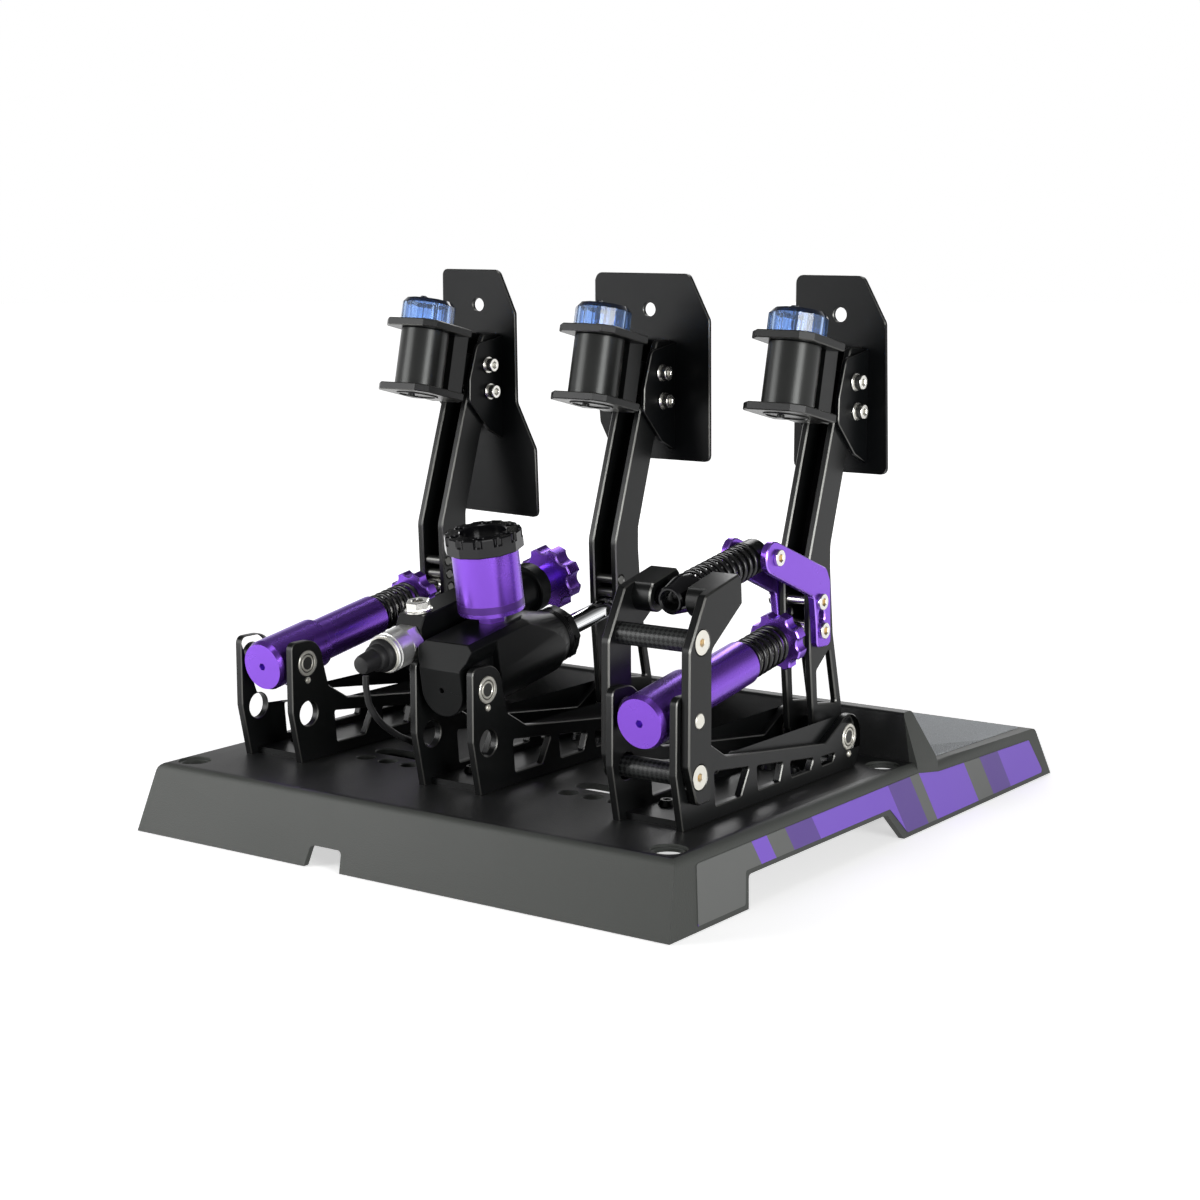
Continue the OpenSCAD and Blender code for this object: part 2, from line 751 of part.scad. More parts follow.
module throttle_arm() {
    arm(throttle_x);
}

module brake_arm() {
    arm(0);
}

module clutch_arm() {
    arm(clutch_x);
}

// Face plates in X and Z, from the driver's side, and their side flanges
function throttle_face_outline() = [
    [38, face_top, 4], [-11, face_top, 6], [-25, face_shoulder, 6], [-26, throttle_waist, 8],
    [-42, throttle_hip, 8], [-44, face_top - throttle_face_h, 4], [38, face_top - throttle_face_h + 2, 4]
];
function brake_face_outline() = [
    [50, face_top - 0.5, 5], [-24, face_top - 0.5, 5], [-40, face_shoulder - 1, 6],
    [-41, face_top - face_h, 4], [34, face_top - face_h, 5], [46, face_top - face_h + 22, 5], [50, face_top - 60, 12]
];
function clutch_face_outline() = [
    [38.5, face_top, 5], [-9.3, face_top, 6], [-25.4, face_shoulder + 0.5, 6],
    [-28, face_top - face_h, 4], [38.5, face_top - face_h, 5]
];

module face(px, outline) {
    back = face_y - rear_pivot_y;
    color(black) translate([px, rear_pivot[0], rear_pivot[1]]) {
        difference() {
            slab_y(back - face_t, back) polygon(rounded(outline));
            translate([face_hole_at[0], back, face_hole_at[1]]) rotate([90, 0, 0])
                cylinder(d = face_hole_d, h = 4 * face_t, center = true);
        }
        both_sides() difference() {
            slab_x(arm_w / 2, arm_w / 2 + face_flange_t) polygon(rounded([
                [back, arm_top - 2], [-7, arm_top - 6, 6], [1.4, 208, 4], [1.9, 193, 5], [-19, 172.5, 5], [back, 166]
            ]));
            for (p = face_bolts) bar_x(p, bolt_d + 2 * fit, 0, arm_w);
        }
    }
}

module throttle_face() {
    face(throttle_x, throttle_face_outline());
}

module brake_face() {
    face(0, brake_face_outline());
}

module clutch_face() {
    face(clutch_x, clutch_face_outline());
}

// Arm axle with its two shoulders
module axle(px) {
    half = bracket_w / 2 - 0.3;
    color(silver) translate([px, rear_pivot[0], rear_pivot[1]]) {
        bar_x([0, 0], pin_d, -half, half);
        both_sides() difference() {
            bar_x([0, 0], pin_d + 5, arm_w / 2 + fit, inner_w / 2 - run_gap);
            bar_x([0, 0], pin_d - 0.2, 0, bracket_w);
        }
    }
}

module throttle_axle() {
    axle(throttle_x);
}

module brake_axle() {
    axle(0);
}

module clutch_axle() {
    axle(clutch_x);
}

// A socket head bolt with a washer, its head at x0 and its tip at x1
module bolt(p, x0, x1) {
    s = x1 < x0 ? -1 : 1;
    translate([x0, p[0], p[1]]) rotate([0, 90 * s, 0]) {
        translate([0, 0, -washer_t]) cylinder(d = washer_d, h = washer_t);
        difference() {
            translate([0, 0, -washer_t - bolt_head_h]) cylinder(d = bolt_head_d, h = bolt_head_h);
            translate([0, 0, -washer_t - bolt_head_h - over]) cylinder(d = 4.6, h = 2.5 + over, $fn = 6);
        }
        translate([0, 0, -washer_t - 0.2]) cylinder(d = bolt_d, h = abs(x1 - x0) + washer_t + 0.2);
    }
}

// Pins through the rod holes and the bolts of the face
module fasteners(px) {
    flange = arm_w / 2 + face_flange_t;
    color(silver) translate([px, rear_pivot[0], rear_pivot[1]]) {
        if (px == clutch_x) link_screws();
        else for (k = [-1:1]) bar_x(rod_hole(k), cross_pin_d, -arm_w / 2, arm_w / 2);
        for (p = face_bolts, s = [-1, 1]) bolt(p, s * flange, s * (arm_gap / 2 + 0.5));
    }
}

module throttle_fasteners() {
    fasteners(throttle_x);
}

module brake_fasteners() {
    fasteners(0);
}

module clutch_fasteners() {
    fasteners(clutch_x);
}

// The haptic unit stands on its own tilted axis in front of the arm
module on_motor_axis(px) {
    translate([px, rear_pivot[0] + motor_at[0], rear_pivot[1] + motor_at[1]])
        rotate([motor_tilt, 0, 0]) children();
}

function holder_plate() = let (h = holder_w / 2) [
    [-h, -22], [-h, h - 6.7], [-h + 6.7, h], [h - 6.7, h], [h, h - 6.7], [h, -22]
];

module motor_holder(px) {
    half = motor_l / 2;
    color(black) on_motor_axis(px) {
        for (z = [half, -half - holder_t]) translate([0, 0, z]) linear_extrude(height = holder_t)
            polygon(holder_plate());
        translate([-holder_block_w / 2, holder_back, -half - holder_t])
            cube([holder_block_w, -holder_back - motor_d / 2 - run_gap, motor_l + 2 * holder_t]);
        translate([-stem_w / 2, -stem_reach, -stem_h / 2]) cube([stem_w, stem_reach + holder_back + over, stem_h]);
    }
}

module throttle_motor_holder() {
    motor_holder(throttle_x);
}

module brake_motor_holder() {
    motor_holder(0);
}

module clutch_motor_holder() {
    motor_holder(clutch_x);
}

// Motor body, with the light ring and the screw under the lower plate
module motor(px) {
    half = motor_l / 2;
    color(black) on_motor_axis(px) {
        translate([0, 0, -half]) cylinder(d = motor_d, h = motor_l);
        translate([0, 0, -half - holder_t - 0.8]) difference() {
            cylinder(d = motor_d - 4, h = 0.8);
            translate([0, 0, -over]) cylinder(d = motor_d - 8, h = 0.8 + 2 * over);
        }
        translate([0, 6, -half - holder_t - 2.4]) cylinder(d = 4.6, h = 2.4);
    }
}

module throttle_motor() {
    motor(throttle_x);
}

module brake_motor() {
    motor(0);
}

module clutch_motor() {
    motor(clutch_x);
}

// Clear twelve-sided dome with a small nipple
module dome(px) {
    base = motor_l / 2 + holder_t;
    color(clear_blue) on_motor_axis(px) difference() {
        union() {
            translate([0, 0, base]) cylinder(d = dome_d, h = dome_h - 3, $fn = 12);
            translate([0, 0, base + dome_h - 3]) cylinder(d1 = dome_d, d2 = dome_d - 5, h = 3, $fn = 12);
            translate([0, 6, base + dome_h - 0.2]) cylinder(d = 5, h = 2.2);
        }
        translate([0, 0, base - over]) cylinder(d = dome_d - 5, h = dome_h - 1.5 + over);
    }
}

module throttle_dome() {
    dome(throttle_x);
}

module brake_dome() {
    dome(0);
}

module clutch_dome() {
    dome(clutch_x);
}

// Axis from the front pivot to the rod pin: local Z runs towards the arm, local Y is up
rod_pin = rear_pivot + rod_hole(rod_hole_used);
rod_len = norm(rod_pin - front_pivot);
rod_tilt = atan2(rod_pin[1] - front_pivot[1], front_pivot[0] - rod_pin[0]);

module on_rod_axis(px) {
    translate([px, front_pivot[0], front_pivot[1]]) rotate([90 - rod_tilt, 0, 0]) children();
}

// Purple tube of the throttle and the clutch, with its cross bore and its long bore
module cylinder_unit(px) {
    color(purple) on_rod_axis(px) difference() {
        rotate_extrude() polygon([
            [0, cap_end], [barrel_d / 2 - cap_bevel[0], cap_end], [barrel_d / 2, cap_end + cap_bevel[1]],
            [barrel_d / 2, barrel_l], [tube_d / 2, barrel_l + (barrel_d - tube_d) / 2], [tube_d / 2, tube_l], [0, tube_l]
        ]);
        translate([0, 0, bore_start]) cylinder(d = sleeve_d + 2 * sleeve_gap, h = tube_l);
        translate([0, 0, cap_end - over]) cylinder(d = 5, h = 3 + over, $fn = 6);
        bar_x([0, 0], pin_d + 2 * fit, -barrel_d, barrel_d);
    }
}

module throttle_cylinder() {
    cylinder_unit(throttle_x);
}

module clutch_cylinder() {
    cylinder_unit(clutch_x);
}

// One unbroken helical wire along Z: six sides, eight rings to a turn
rings_per_turn = 8;
wire_sides = 6;

function coil_path(r, z0, z1, turns) = let (n = ceil(turns * rings_per_turn)) [
    for (i = [0:n]) [r * cos(turns * 360 * i / n), r * sin(turns * 360 * i / n), z0 + (z1 - z0) * i / n]
];

// Least distance between the skins of two stretches of wire at least half a turn apart
function coil_gap(path, wire) = min([
    for (i = [0:len(path) - 1], j = [i + rings_per_turn / 2:1:len(path) - 1]) norm(path[i] - path[j]) - wire
]);

module coil(r, wire, z0, z1, turns) {
    path = coil_path(r, z0 + wire / 2, z1 - wire / 2, turns);
    n = len(path);
    points = [
        for (p = path, s = [0:wire_sides - 1])
            let (out = [p[0], p[1], 0] / r, a = s * 360 / wire_sides)
            p + wire / 2 * (cos(a) * out + sin(a) * [0, 0, 1])
    ];
    skin = [
        for (i = [0:n - 2], s = [0:wire_sides - 1])
            let (a = i * wire_sides + s, b = i * wire_sides + (s + 1) % wire_sides)
            each [[a, a + wire_sides, b], [b, a + wire_sides, b + wire_sides]]
    ];
    ends = [
        for (s = [1:wire_sides - 2])
            each [[0, s, s + 1], (n - 1) * wire_sides * [1, 1, 1] + [0, s + 1, s]]
    ];
    polyhedron(points = points, faces = concat(skin, ends), convexity = 8);
    echo(turns = turns, least_gap = coil_gap(path, wire));
}

wheel_start = rod_len - wheel_clear - wheel_t;

module return_spring(px) {
    color(black) on_rod_axis(px)
        coil((spring_d - spring_wire) / 2, spring_wire, tube_l + 0.3, wheel_start - 0.3, spring_turns);
}

module throttle_spring() {
    return_spring(throttle_x);
}

module clutch_spring() {
    return_spring(clutch_x);
}

// Rod: eye in the arm, threaded neck through the wheel, slotted sleeve inside the spring
module rod(px) {
    reach = rod_len;
    color(silver) on_rod_axis(px) difference() {
        union() {
            translate([0, 0, reach - wheel_clear + 0.2]) cylinder(d = 10.5, h = wheel_clear - 4);
            translate([0, 0, reach]) bar_x([0, 0], 2 * eye_r, -arm_gap / 2 + run_gap, arm_gap / 2 - run_gap);
            translate([0, 0, wheel_start - 1]) cylinder(d = thread_d, h = wheel_t + 2);
            translate([0, 0, tube_l - sleeve_in]) cylinder(d = sleeve_d, h = wheel_start - tube_l + sleeve_in - 0.5);
        }
        translate([0, 0, reach]) bar_x([0, 0], cross_pin_d + 2 * fit, -arm_w, arm_w);
        translate([-1.5, 0, tube_l + 3]) cube([3, sleeve_d, wheel_start - tube_l - 8]);
    }
}

module throttle_rod() {
    rod(throttle_x);
}

module clutch_rod() {
    rod(clutch_x);
}

// Star wheel: a disc with scoops all round and a bore
module star(d, t, lobes, scoop, bore) {
    linear_extrude(height = t) difference() {
        circle(d = d);
        for (i = [0:lobes - 1]) rotate(i * 360 / lobes) translate([d / 2 + scoop * 0.45, 0]) circle(r = scoop);
        circle(d = bore);
    }
}

module preload_wheel(px) {
    color(purple) on_rod_axis(px) translate([0, 0, wheel_start])
        star(wheel_d, wheel_t, 8, 5, thread_d + 2 * fit);
}

module throttle_wheel() {
    preload_wheel(throttle_x);
}

module clutch_wheel() {
    preload_wheel(clutch_x);
}

// Upright section of the brake body: round below, chamfered along its top
module body_section() {
    half = brake_w / 2;
    circle(r = half);
    polygon([
        [-half, 0], [half, 0], [half, body_side_h], [body_top_half, body_top], [-body_top_half, body_top],
        [-half, body_side_h]
    ]);
}

// Section of the lug between the ears, and of the head that flares out above them
module lug_section(lug) {
    circle(r = lug);
    translate([-lug, 0]) square([2 * lug, lug_mouth + over]);
}

module head_section(lug) {
    half = brake_w / 2;
    polygon([
        [-lug + 0.5, lug_mouth], [lug - 0.5, lug_mouth], body_flare, [half, body_side_h], [body_top_half, body_top],
        [-body_top_half, body_top], [-half, body_side_h], [-body_flare[0], body_flare[1]]
    ]);
}

module brake_body() {
    lug = brake_lug_w / 2;
    back = body_start + 4;
    cone_r = collar_r + cone_lean * brake_l;
    color(black) on_rod_axis(0) difference() {
        union() {
            intersection() {
                translate([0, 0, -lug_end]) linear_extrude(height = lug_end + back) union() {
                    lug_section(lug);
                    head_section(lug);
                }
                slab_side(-brake_w, brake_w) polygon([
                    [-lug_end, -brake_w], [-lug_end, lug_mouth], [facet_top_u, body_top], [back, body_top], [back, -brake_w]
                ]);
            }
            difference() {
                intersection() {
                    translate([0, 0, body_start]) linear_extrude(height = brake_l - body_start) body_section();
                    cylinder(r1 = cone_r, r2 = collar_r, h = brake_l);
                }
                both_sides() bar_x([0, 0], 2 * pocket_r, lug, brake_w);
            }
            translate([0, 0, brake_l - over]) cylinder(r = collar_r, h = collar_l + over);
            translate([0, 0, brake_l + collar_l / 2]) cylinder(r = collar_r + 1, h = collar_l / 2, $fn = 8);
        }
        translate([0, 0, brake_bore_u]) cylinder(d = brake_rod_d + 2 * rod_gap, h = brake_l);
        bar_x([0, 0], pin_d + 2 * fit, -brake_w, brake_w);
        translate([0, 1, -lug_end - over]) cylinder(d = 3, h = 3 + over);
        translate([0, body_top - 4, reservoir_u]) rotate([-90, 0, 0]) cylinder(d = reservoir_port_d, h = 10);
    }
}

// An outline given as [along the axis, up], extruded across from x0 to x1
module slab_side(x0, x1) {
    translate([x1, 0, 0]) rotate([0, -90, 0]) linear_extrude(height = x1 - x0) children();
}

module brake_side_body() {
    color(black) on_rod_axis(0) difference() {
        union() {
            slab_side(side_x - side_w / 2, side_x + side_w / 2) polygon([
                [side_body_start, side_body_low + 8], [side_body_start, side_body_top - 7],
                [side_body_start + 5, side_body_top], [side_body_end, side_body_top],
                [side_body_end, side_body_low], [side_body_start + 8, side_body_low]
            ]);
            slab_side(brake_w / 2, side_x - side_w / 2 + over) polygon([
                [30, 17], [30, 8], [60, 8], [60, 17]
            ]);
            translate([side_x, side_axis, side_body_end - over])
                cylinder(d = side_barrel_d, h = side_barrel_end - side_body_end + over);
            translate([side_x, side_axis, side_barrel_end - 14]) cylinder(d = side_barrel_d + 6, h = 10);
        }
        translate([side_x, side_axis, side_barrel_end - 30]) cylinder(d = thread_d + 2 * fit, h = 31);
        translate([side_x, side_body_top - 8, 15]) rotate([-90, 0, 0]) cylinder(d = 8 + 2 * fit, h = 10);
        translate([sensor_x, sensor_w, side_body_start - over]) cylinder(d = 10 + 2 * fit, h = 9);
    }
}

module brake_reservoir() {
    color(purple) on_rod_axis(0) translate([0, body_top, reservoir_u]) rotate([-90, 0, 0]) {
        translate([0, 0, -3.7]) cylinder(d = reservoir_port_d - 2 * fit, h = 3.9);
        cylinder(d = 15.5 / cos(30), h = neck_h, $fn = 6);
        difference() {
            translate([0, 0, neck_h - 0.2]) cylinder(d = reservoir_d, h = reservoir_h + 0.2);
            translate([0, 0, neck_h + 3]) cylinder(d = reservoir_d - 6, h = reservoir_h);
        }
    }
}

// Screw cap with twelve flats, a ring of drilled dimples and a round recess
module reservoir_cap() {
    color(black) on_rod_axis(0) translate([0, body_top + neck_h + reservoir_h, reservoir_u])
        rotate([-90, 0, 0]) difference() {
            union() {
                translate([0, 0, 0.3]) cylinder(d = cap_d, h = cap_h - 0.3, $fn = 12);
                translate([0, 0, -6]) cylinder(d = reservoir_d - 6 - 2 * run_gap, h = 6.5);
            }
            for (i = [0:5]) rotate(i * 60) translate([cap_d / 2 - 6, 0, cap_h - 3]) cylinder(d = 5, h = 4);
            for (i = [0:11]) rotate(i * 30) translate([cap_d / 2 + 0.5, 0, cap_h - 5]) cylinder(d = 6, h = 6);
            translate([0, 0, cap_h - 6]) cylinder(d = cap_d - 20, h = 7);
            translate([0, 0, -6 - over]) cylinder(d = reservoir_d - 12, h = 8);
        }
}

// Hollow silver screw on top of the side body
module brake_fitting() {
    color(silver) on_rod_axis(0) translate([side_x, side_body_top, 15]) rotate([-90, 0, 0]) difference() {
        union() {
            translate([0, 0, -7]) cylinder(d = 8, h = 8);
            cylinder(d = 17, h = 2);
            translate([0, 0, 2 - 0.1]) cylinder(d = 15, h = 5, $fn = 6);
        }
        translate([0, 0, 1.5]) cylinder(d = 7, h = 8);
    }
}

module pressure_sensor() {
    face = side_body_start;
    color(silver) on_rod_axis(0) translate([sensor_x, sensor_w, face]) {
        translate([0, 0, -0.2]) cylinder(d = 10, h = 7);
        translate([0, 0, -sensor_l]) cylinder(d = sensor_d, h = sensor_l);
        translate([0, 0, -sensor_l - 9]) cylinder(d = sensor_d - 4, h = 9.2);
        translate([0, 0, -sensor_l - plug_l]) cylinder(d1 = 11, d2 = 16, h = plug_l - 8.8);
    }
}

// Lead swept along its route: eight sides, one ring to a point
cable_sides = 8;

module sensor_cable() {
    n = len(cable_route);
    rings = [
        for (i = [0:n - 1])
            let (ahead = cable_route[min(i + 1, n - 1)] - cable_route[max(i - 1, 0)])
            let (side = unit(cross(ahead, [1, 0, 0])), flank = unit(cross(side, ahead)))
            for (s = [0:cable_sides - 1])
                let (a = s * 360 / cable_sides)
                cable_route[i] + cable_d / 2 * (cos(a) * flank + sin(a) * side)
    ];
    skin = [
        for (i = [0:n - 2], s = [0:cable_sides - 1])
            let (a = i * cable_sides + s, b = i * cable_sides + (s + 1) % cable_sides)
            each [[a, b, a + cable_sides], [b, b + cable_sides, a + cable_sides]]
    ];
    ends = [
        for (s = [1:cable_sides - 2])
            each [[0, s + 1, s], (n - 1) * cable_sides * [1, 1, 1] + [0, s, s + 1]]
    ];
    color(rubber) polyhedron(points = rings, faces = concat(skin, ends), convexity = 6);
}

module brake_rod() {
    reach = rod_len;
    color(chrome) on_rod_axis(0) difference() {
        union() {
            translate([0, 0, 55]) cylinder(d = brake_rod_d, h = reach - 55 - 5);
            translate([0, 0, reach]) bar_x([0, 0], 2 * eye_r, -arm_gap / 2 + run_gap, arm_gap / 2 - run_gap);
        }
        translate([0, 0, reach]) bar_x([0, 0], cross_pin_d + 2 * fit, -arm_w, arm_w);
        for (s = [-1, 1]) translate([s * (arm_gap / 2 - run_gap + 5), 0, reach])
            cube([10, 30, 28], center = true);
    }
}

// Big star wheel on a stud that runs in the side barrel
module brake_wheel() {
    color(purple) on_rod_axis(0) translate([side_x, side_axis, 0]) {
        translate([0, 0, brake_wheel_u]) star(brake_wheel_d, brake_wheel_t, 8, 6, thread_d - 1);
        translate([0, 0, side_barrel_end + run_gap]) cylinder(d = 18, h = brake_wheel_u - side_barrel_end);
        translate([0, 0, side_barrel_end - 20]) cylinder(d = thread_d, h = 33);
    }
}

// Tower plate beside the clutch bracket, with a boss that holds the assist pivot
module tower_outline() {
    back = front_pivot_y - 12.5;
    polygon(rounded([
        [front_pivot_y + 10.5, deck_h + 38, 6], [front_pivot_y + 10.5, tower_screw_high[1] - 3, 8],
        [assist_y + 15.5, assist_pivot[1] + 5.7, 3], [assist_y - 18.2, assist_pivot[1] + 13.7, 2],
        [assist_y - 21.3, assist_pivot[1] + 10.9, 1.5], [assist_y - 22.3, assist_pivot[1] - 3.6, 2],
        [back + 0.5, tower_screw_high[1] - 6, 6], [back, front_pivot[1]], [back, deck_h + 15, 3],
        [front_pivot_y + 1.7, deck_h + 14.3, 4]
    ]));
}

module tower_plate(s) {
    color(black) translate([clutch_x, 0, 0]) mirror([s, 0, 0]) difference() {
        union() {
            slab_x(tower_x, tower_x + tower_t) tower_outline();
            slab_x(boss_inner, tower_x + over) intersection() {
                tower_outline();
                translate(assist_pivot) union() {
                    circle(r = boss_r);
                    polygon([[-24, 0], [boss_r, 0], [boss_r - 3, 7.8], [boss_r - 3, 15], [-24, 15]]);
                }
            }
        }
        bar_x(assist_pivot, trunnion_d + 2 * fit, boss_inner - over, tower_x - 2);
        bar_x(front_pivot, pin_d + 2 * fit, tower_x - over, tower_x + tower_t + over);
        for (p = [tower_screw_high, low_hole]) {
            bar_x(p, screw_d + 2 * fit, tower_x - over, tower_x + tower_t + over);
            translate([tower_x + tower_t - 4, p[0], p[1]]) rotate([0, 90, 0])
                cylinder(d1 = screw_d + 2 * fit, d2 = screw_d + 8 + 2 * fit, h = 4);
            bar_x(p, screw_d + 8 + 2 * fit, tower_x + tower_t - 0.01, tower_x + tower_t + over);
        }
    }
}

module tower_left() {
    tower_plate(1);
}

module tower_right() {
    tower_plate(0);
}

module tower_spacers() {
    color(carbon) translate([clutch_x, 0, 0]) for (p = [tower_screw_high, low_hole]) difference() {
        bar_x(p, spacer_d, -tower_x, tower_x);
        bar_x(p, screw_d + 1, -tower_x - over, tower_x + over);
    }
}

// Countersunk screws from both sides of the tower
module tower_screws() {
    color(silver) translate([clutch_x, 0, 0]) both_sides() for (p = [tower_screw_high, low_hole]) difference() {
        union() {
            bar_x(p, screw_d, 4, tower_x + tower_t - 3.9);
            translate([tower_x + tower_t - 4, p[0], p[1]]) rotate([0, 90, 0])
                cylinder(d1 = screw_d, d2 = screw_d + 8, h = 4);
        }
        translate([tower_x + tower_t - 2.2, p[0], p[1]]) rotate([0, 90, 0]) cylinder(d = 5, h = 4, $fn = 6);
    }
}

// Purple link plates on the clutch arm, in the frame of the arm pivot
link_bolts = [rod_hole(1), rod_hole(-1)];
link_slot_reach = 1;
link_head = [10, 2.4];

module link_outline() {
    difference() {
        polygon(rounded([
            [link_y + 12.5, link_z - 6.5, 9], [link_y + 12, link_z + 14, 9], [rod_hole_y - 5.4, 106.5, 6],
            [rod_hole_y - 10, 98, 6], [rod_hole_y - 11.6, 58, 4], [arm_nose - 0.9, 58.5, 4], [arm_nose + 0.6, 74],
            [arm_nose + 3.6, 90.5, 4]
        ]));
        translate([link_y, link_z]) circle(d = bolt_d + 2 * fit);
        for (p = link_bolts) translate(p) circle(d = cross_pin_d + 2 * fit);
        translate(rod_hole(0)) for (z = [-link_slot_reach, link_slot_reach]) translate([0, z]) circle(d = cross_pin_d + 1);
        translate(rod_hole(0)) square([cross_pin_d + 1, 2 * link_slot_reach], center = true);
    }
}

module assist_links() {
    color(purple) translate([clutch_x, rear_pivot[0], rear_pivot[1]]) both_sides()
        slab_x(arm_w / 2 + fit, arm_w / 2 + link_t) link_outline();
}

// Through pins with low heads: two hold the links on the arm and one carries the assist rod
module link_screws() {
    out = arm_w / 2 + link_t;
    for (p = link_bolts) bar_x(p, cross_pin_d, -out - 0.5, out + 0.5);
    bar_x([link_y, link_z], bolt_d, -out - 0.5, out + 0.5);
    both_sides() for (p = concat(link_bolts, [[link_y, link_z]])) difference() {
        bar_x(p, link_head[0], out, out + link_head[1]);
        translate([out + link_head[1] - 1.4, p[0], p[1]]) rotate([0, 90, 0]) cylinder(d = 5, h = 2, $fn = 6);
    }
}

assist_eye_w = arm_w - 2 * run_gap;

// Axis of the assist unit from its lower pivot: local Z runs towards the link plates
module on_assist_axis() {
    translate([clutch_x, assist_pivot[0], assist_pivot[1]]) rotate([90 - assist_tilt, 0, 0]) children();
}

// Open guide with two trunnions and a cone at its lower end
module assist_guide() {
    color(black) on_assist_axis() difference() {
        union() {
            rotate_extrude() polygon([
                [0, guide_nose[1]], [guide_nose[0] - 1, guide_nose[1]], [guide_nose[0], guide_nose[1] + 1],
                [guide_w / 2 - 0.3, guide_seat - 6], [guide_w / 2 - 0.3, guide_seat], [0, guide_seat]
            ]);
            bar_x([0, 0], trunnion_d, -tower_x + 3, tower_x - 3);
        }
        translate([0, 0, guide_nose[1] - over]) cylinder(d = guide_bore, h = guide_seat - guide_nose[1] + 2 * over);
    }
}

// Rod with its eye between the link plates and the upper seat of the spring
module assist_rod() {
    color(black) on_assist_axis() difference() {
        union() {
            translate([0, 0, assist_len - assist_rod_l]) cylinder(d = assist_rod_d, h = assist_rod_l - 3);
            translate([0, 0, assist_len]) rotate_extrude() polygon([
                [0, -assist_cap_back], [assist_cap_r, -assist_cap_back], [assist_cap_r, 0],
                [assist_cap_r - 3, assist_cap_crown], [0, assist_cap_crown]
            ]);
            translate([0, 0, assist_len]) bar_x([0, 0], 14, -assist_eye_w / 2, assist_eye_w / 2);
        }
        translate([0, 0, assist_len]) bar_x([0, 0], bolt_d + 2 * fit, -arm_w, arm_w);
    }
}

module assist_spring() {
    color(black) on_assist_axis() coil(
        (assist_spring_d - assist_wire) / 2, assist_wire, guide_seat + 0.3,
        assist_len - assist_cap_back - 0.3, assist_turns
    );
}

base_shell();
heel_grip();
side_films();
controller_case();
controller_board();
usb_socket();
cable_grommet();
throttle_bracket();
brake_bracket();
clutch_bracket();
pivot_bearings();
bracket_screws();
front_pins();
tower_left();
tower_right();
tower_spacers();
tower_screws();
throttle_arm();
brake_arm();
clutch_arm();
throttle_face();
brake_face();
clutch_face();
throttle_axle();
brake_axle();
clutch_axle();
throttle_fasteners();
brake_fasteners();
clutch_fasteners();
throttle_motor_holder();
brake_motor_holder();
clutch_motor_holder();
throttle_motor();
brake_motor();
clutch_motor();
throttle_dome();
brake_dome();
clutch_dome();
throttle_cylinder();
clutch_cylinder();
throttle_spring();
clutch_spring();
throttle_rod();
clutch_rod();
throttle_wheel();
clutch_wheel();
brake_body();
brake_side_body();
brake_reservoir();
reservoir_cap();
brake_fitting();
pressure_sensor();
sensor_cable();
brake_rod();
brake_wheel();
assist_links();
assist_guide();
assist_rod();
assist_spring();
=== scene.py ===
"""Looks of a sim racing pedal set: throttle, hydraulic brake and clutch on one moulded base.

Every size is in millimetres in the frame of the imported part: +X is the driver's right,
+Y points away from the driver and +Z is up. Meshes are scaled to metres when they are made.
"""

from __future__ import annotations

import functools
import json
import logging
import math
from collections.abc import Callable, Sequence
from dataclasses import dataclass, field
from enum import Enum

import bmesh
import bpy
from mathutils import Matrix, Vector, geometry

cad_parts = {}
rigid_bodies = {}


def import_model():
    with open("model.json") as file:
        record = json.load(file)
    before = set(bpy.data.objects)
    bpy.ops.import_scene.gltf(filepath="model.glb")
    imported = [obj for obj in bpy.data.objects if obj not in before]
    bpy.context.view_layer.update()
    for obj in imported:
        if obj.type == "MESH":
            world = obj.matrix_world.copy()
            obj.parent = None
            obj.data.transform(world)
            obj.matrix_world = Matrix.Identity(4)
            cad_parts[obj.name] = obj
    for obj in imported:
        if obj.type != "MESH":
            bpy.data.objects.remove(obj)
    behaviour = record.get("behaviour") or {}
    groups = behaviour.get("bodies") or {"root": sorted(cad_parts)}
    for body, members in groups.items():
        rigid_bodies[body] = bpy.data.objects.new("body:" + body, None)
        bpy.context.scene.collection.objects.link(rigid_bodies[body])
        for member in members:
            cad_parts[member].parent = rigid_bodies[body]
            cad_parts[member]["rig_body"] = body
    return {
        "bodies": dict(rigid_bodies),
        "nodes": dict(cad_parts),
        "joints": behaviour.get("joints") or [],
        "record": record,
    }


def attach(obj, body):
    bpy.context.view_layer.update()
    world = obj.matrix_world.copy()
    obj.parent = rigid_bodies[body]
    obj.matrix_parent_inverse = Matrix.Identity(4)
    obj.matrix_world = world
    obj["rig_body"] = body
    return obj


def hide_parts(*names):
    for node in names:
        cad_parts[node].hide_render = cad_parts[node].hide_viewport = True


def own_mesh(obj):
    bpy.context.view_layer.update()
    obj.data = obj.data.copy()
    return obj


LOG = logging.getLogger("pedal_set")
MM = 0.001
SIDES = 96
RIGHT = Vector((1, 0, 0))
UP = Vector((0, 0, 1))
AWAY = Vector((0, 1, 0))

Colour = tuple[float, float, float]
Point2 = tuple[float, float]


class Relief(Enum):
    """Fine relief that a finish carries."""

    SMOOTH = "smooth"
    BLASTED = "blasted"
    MOULDED = "moulded"
    BRUSHED = "brushed"
    WOVEN = "woven"


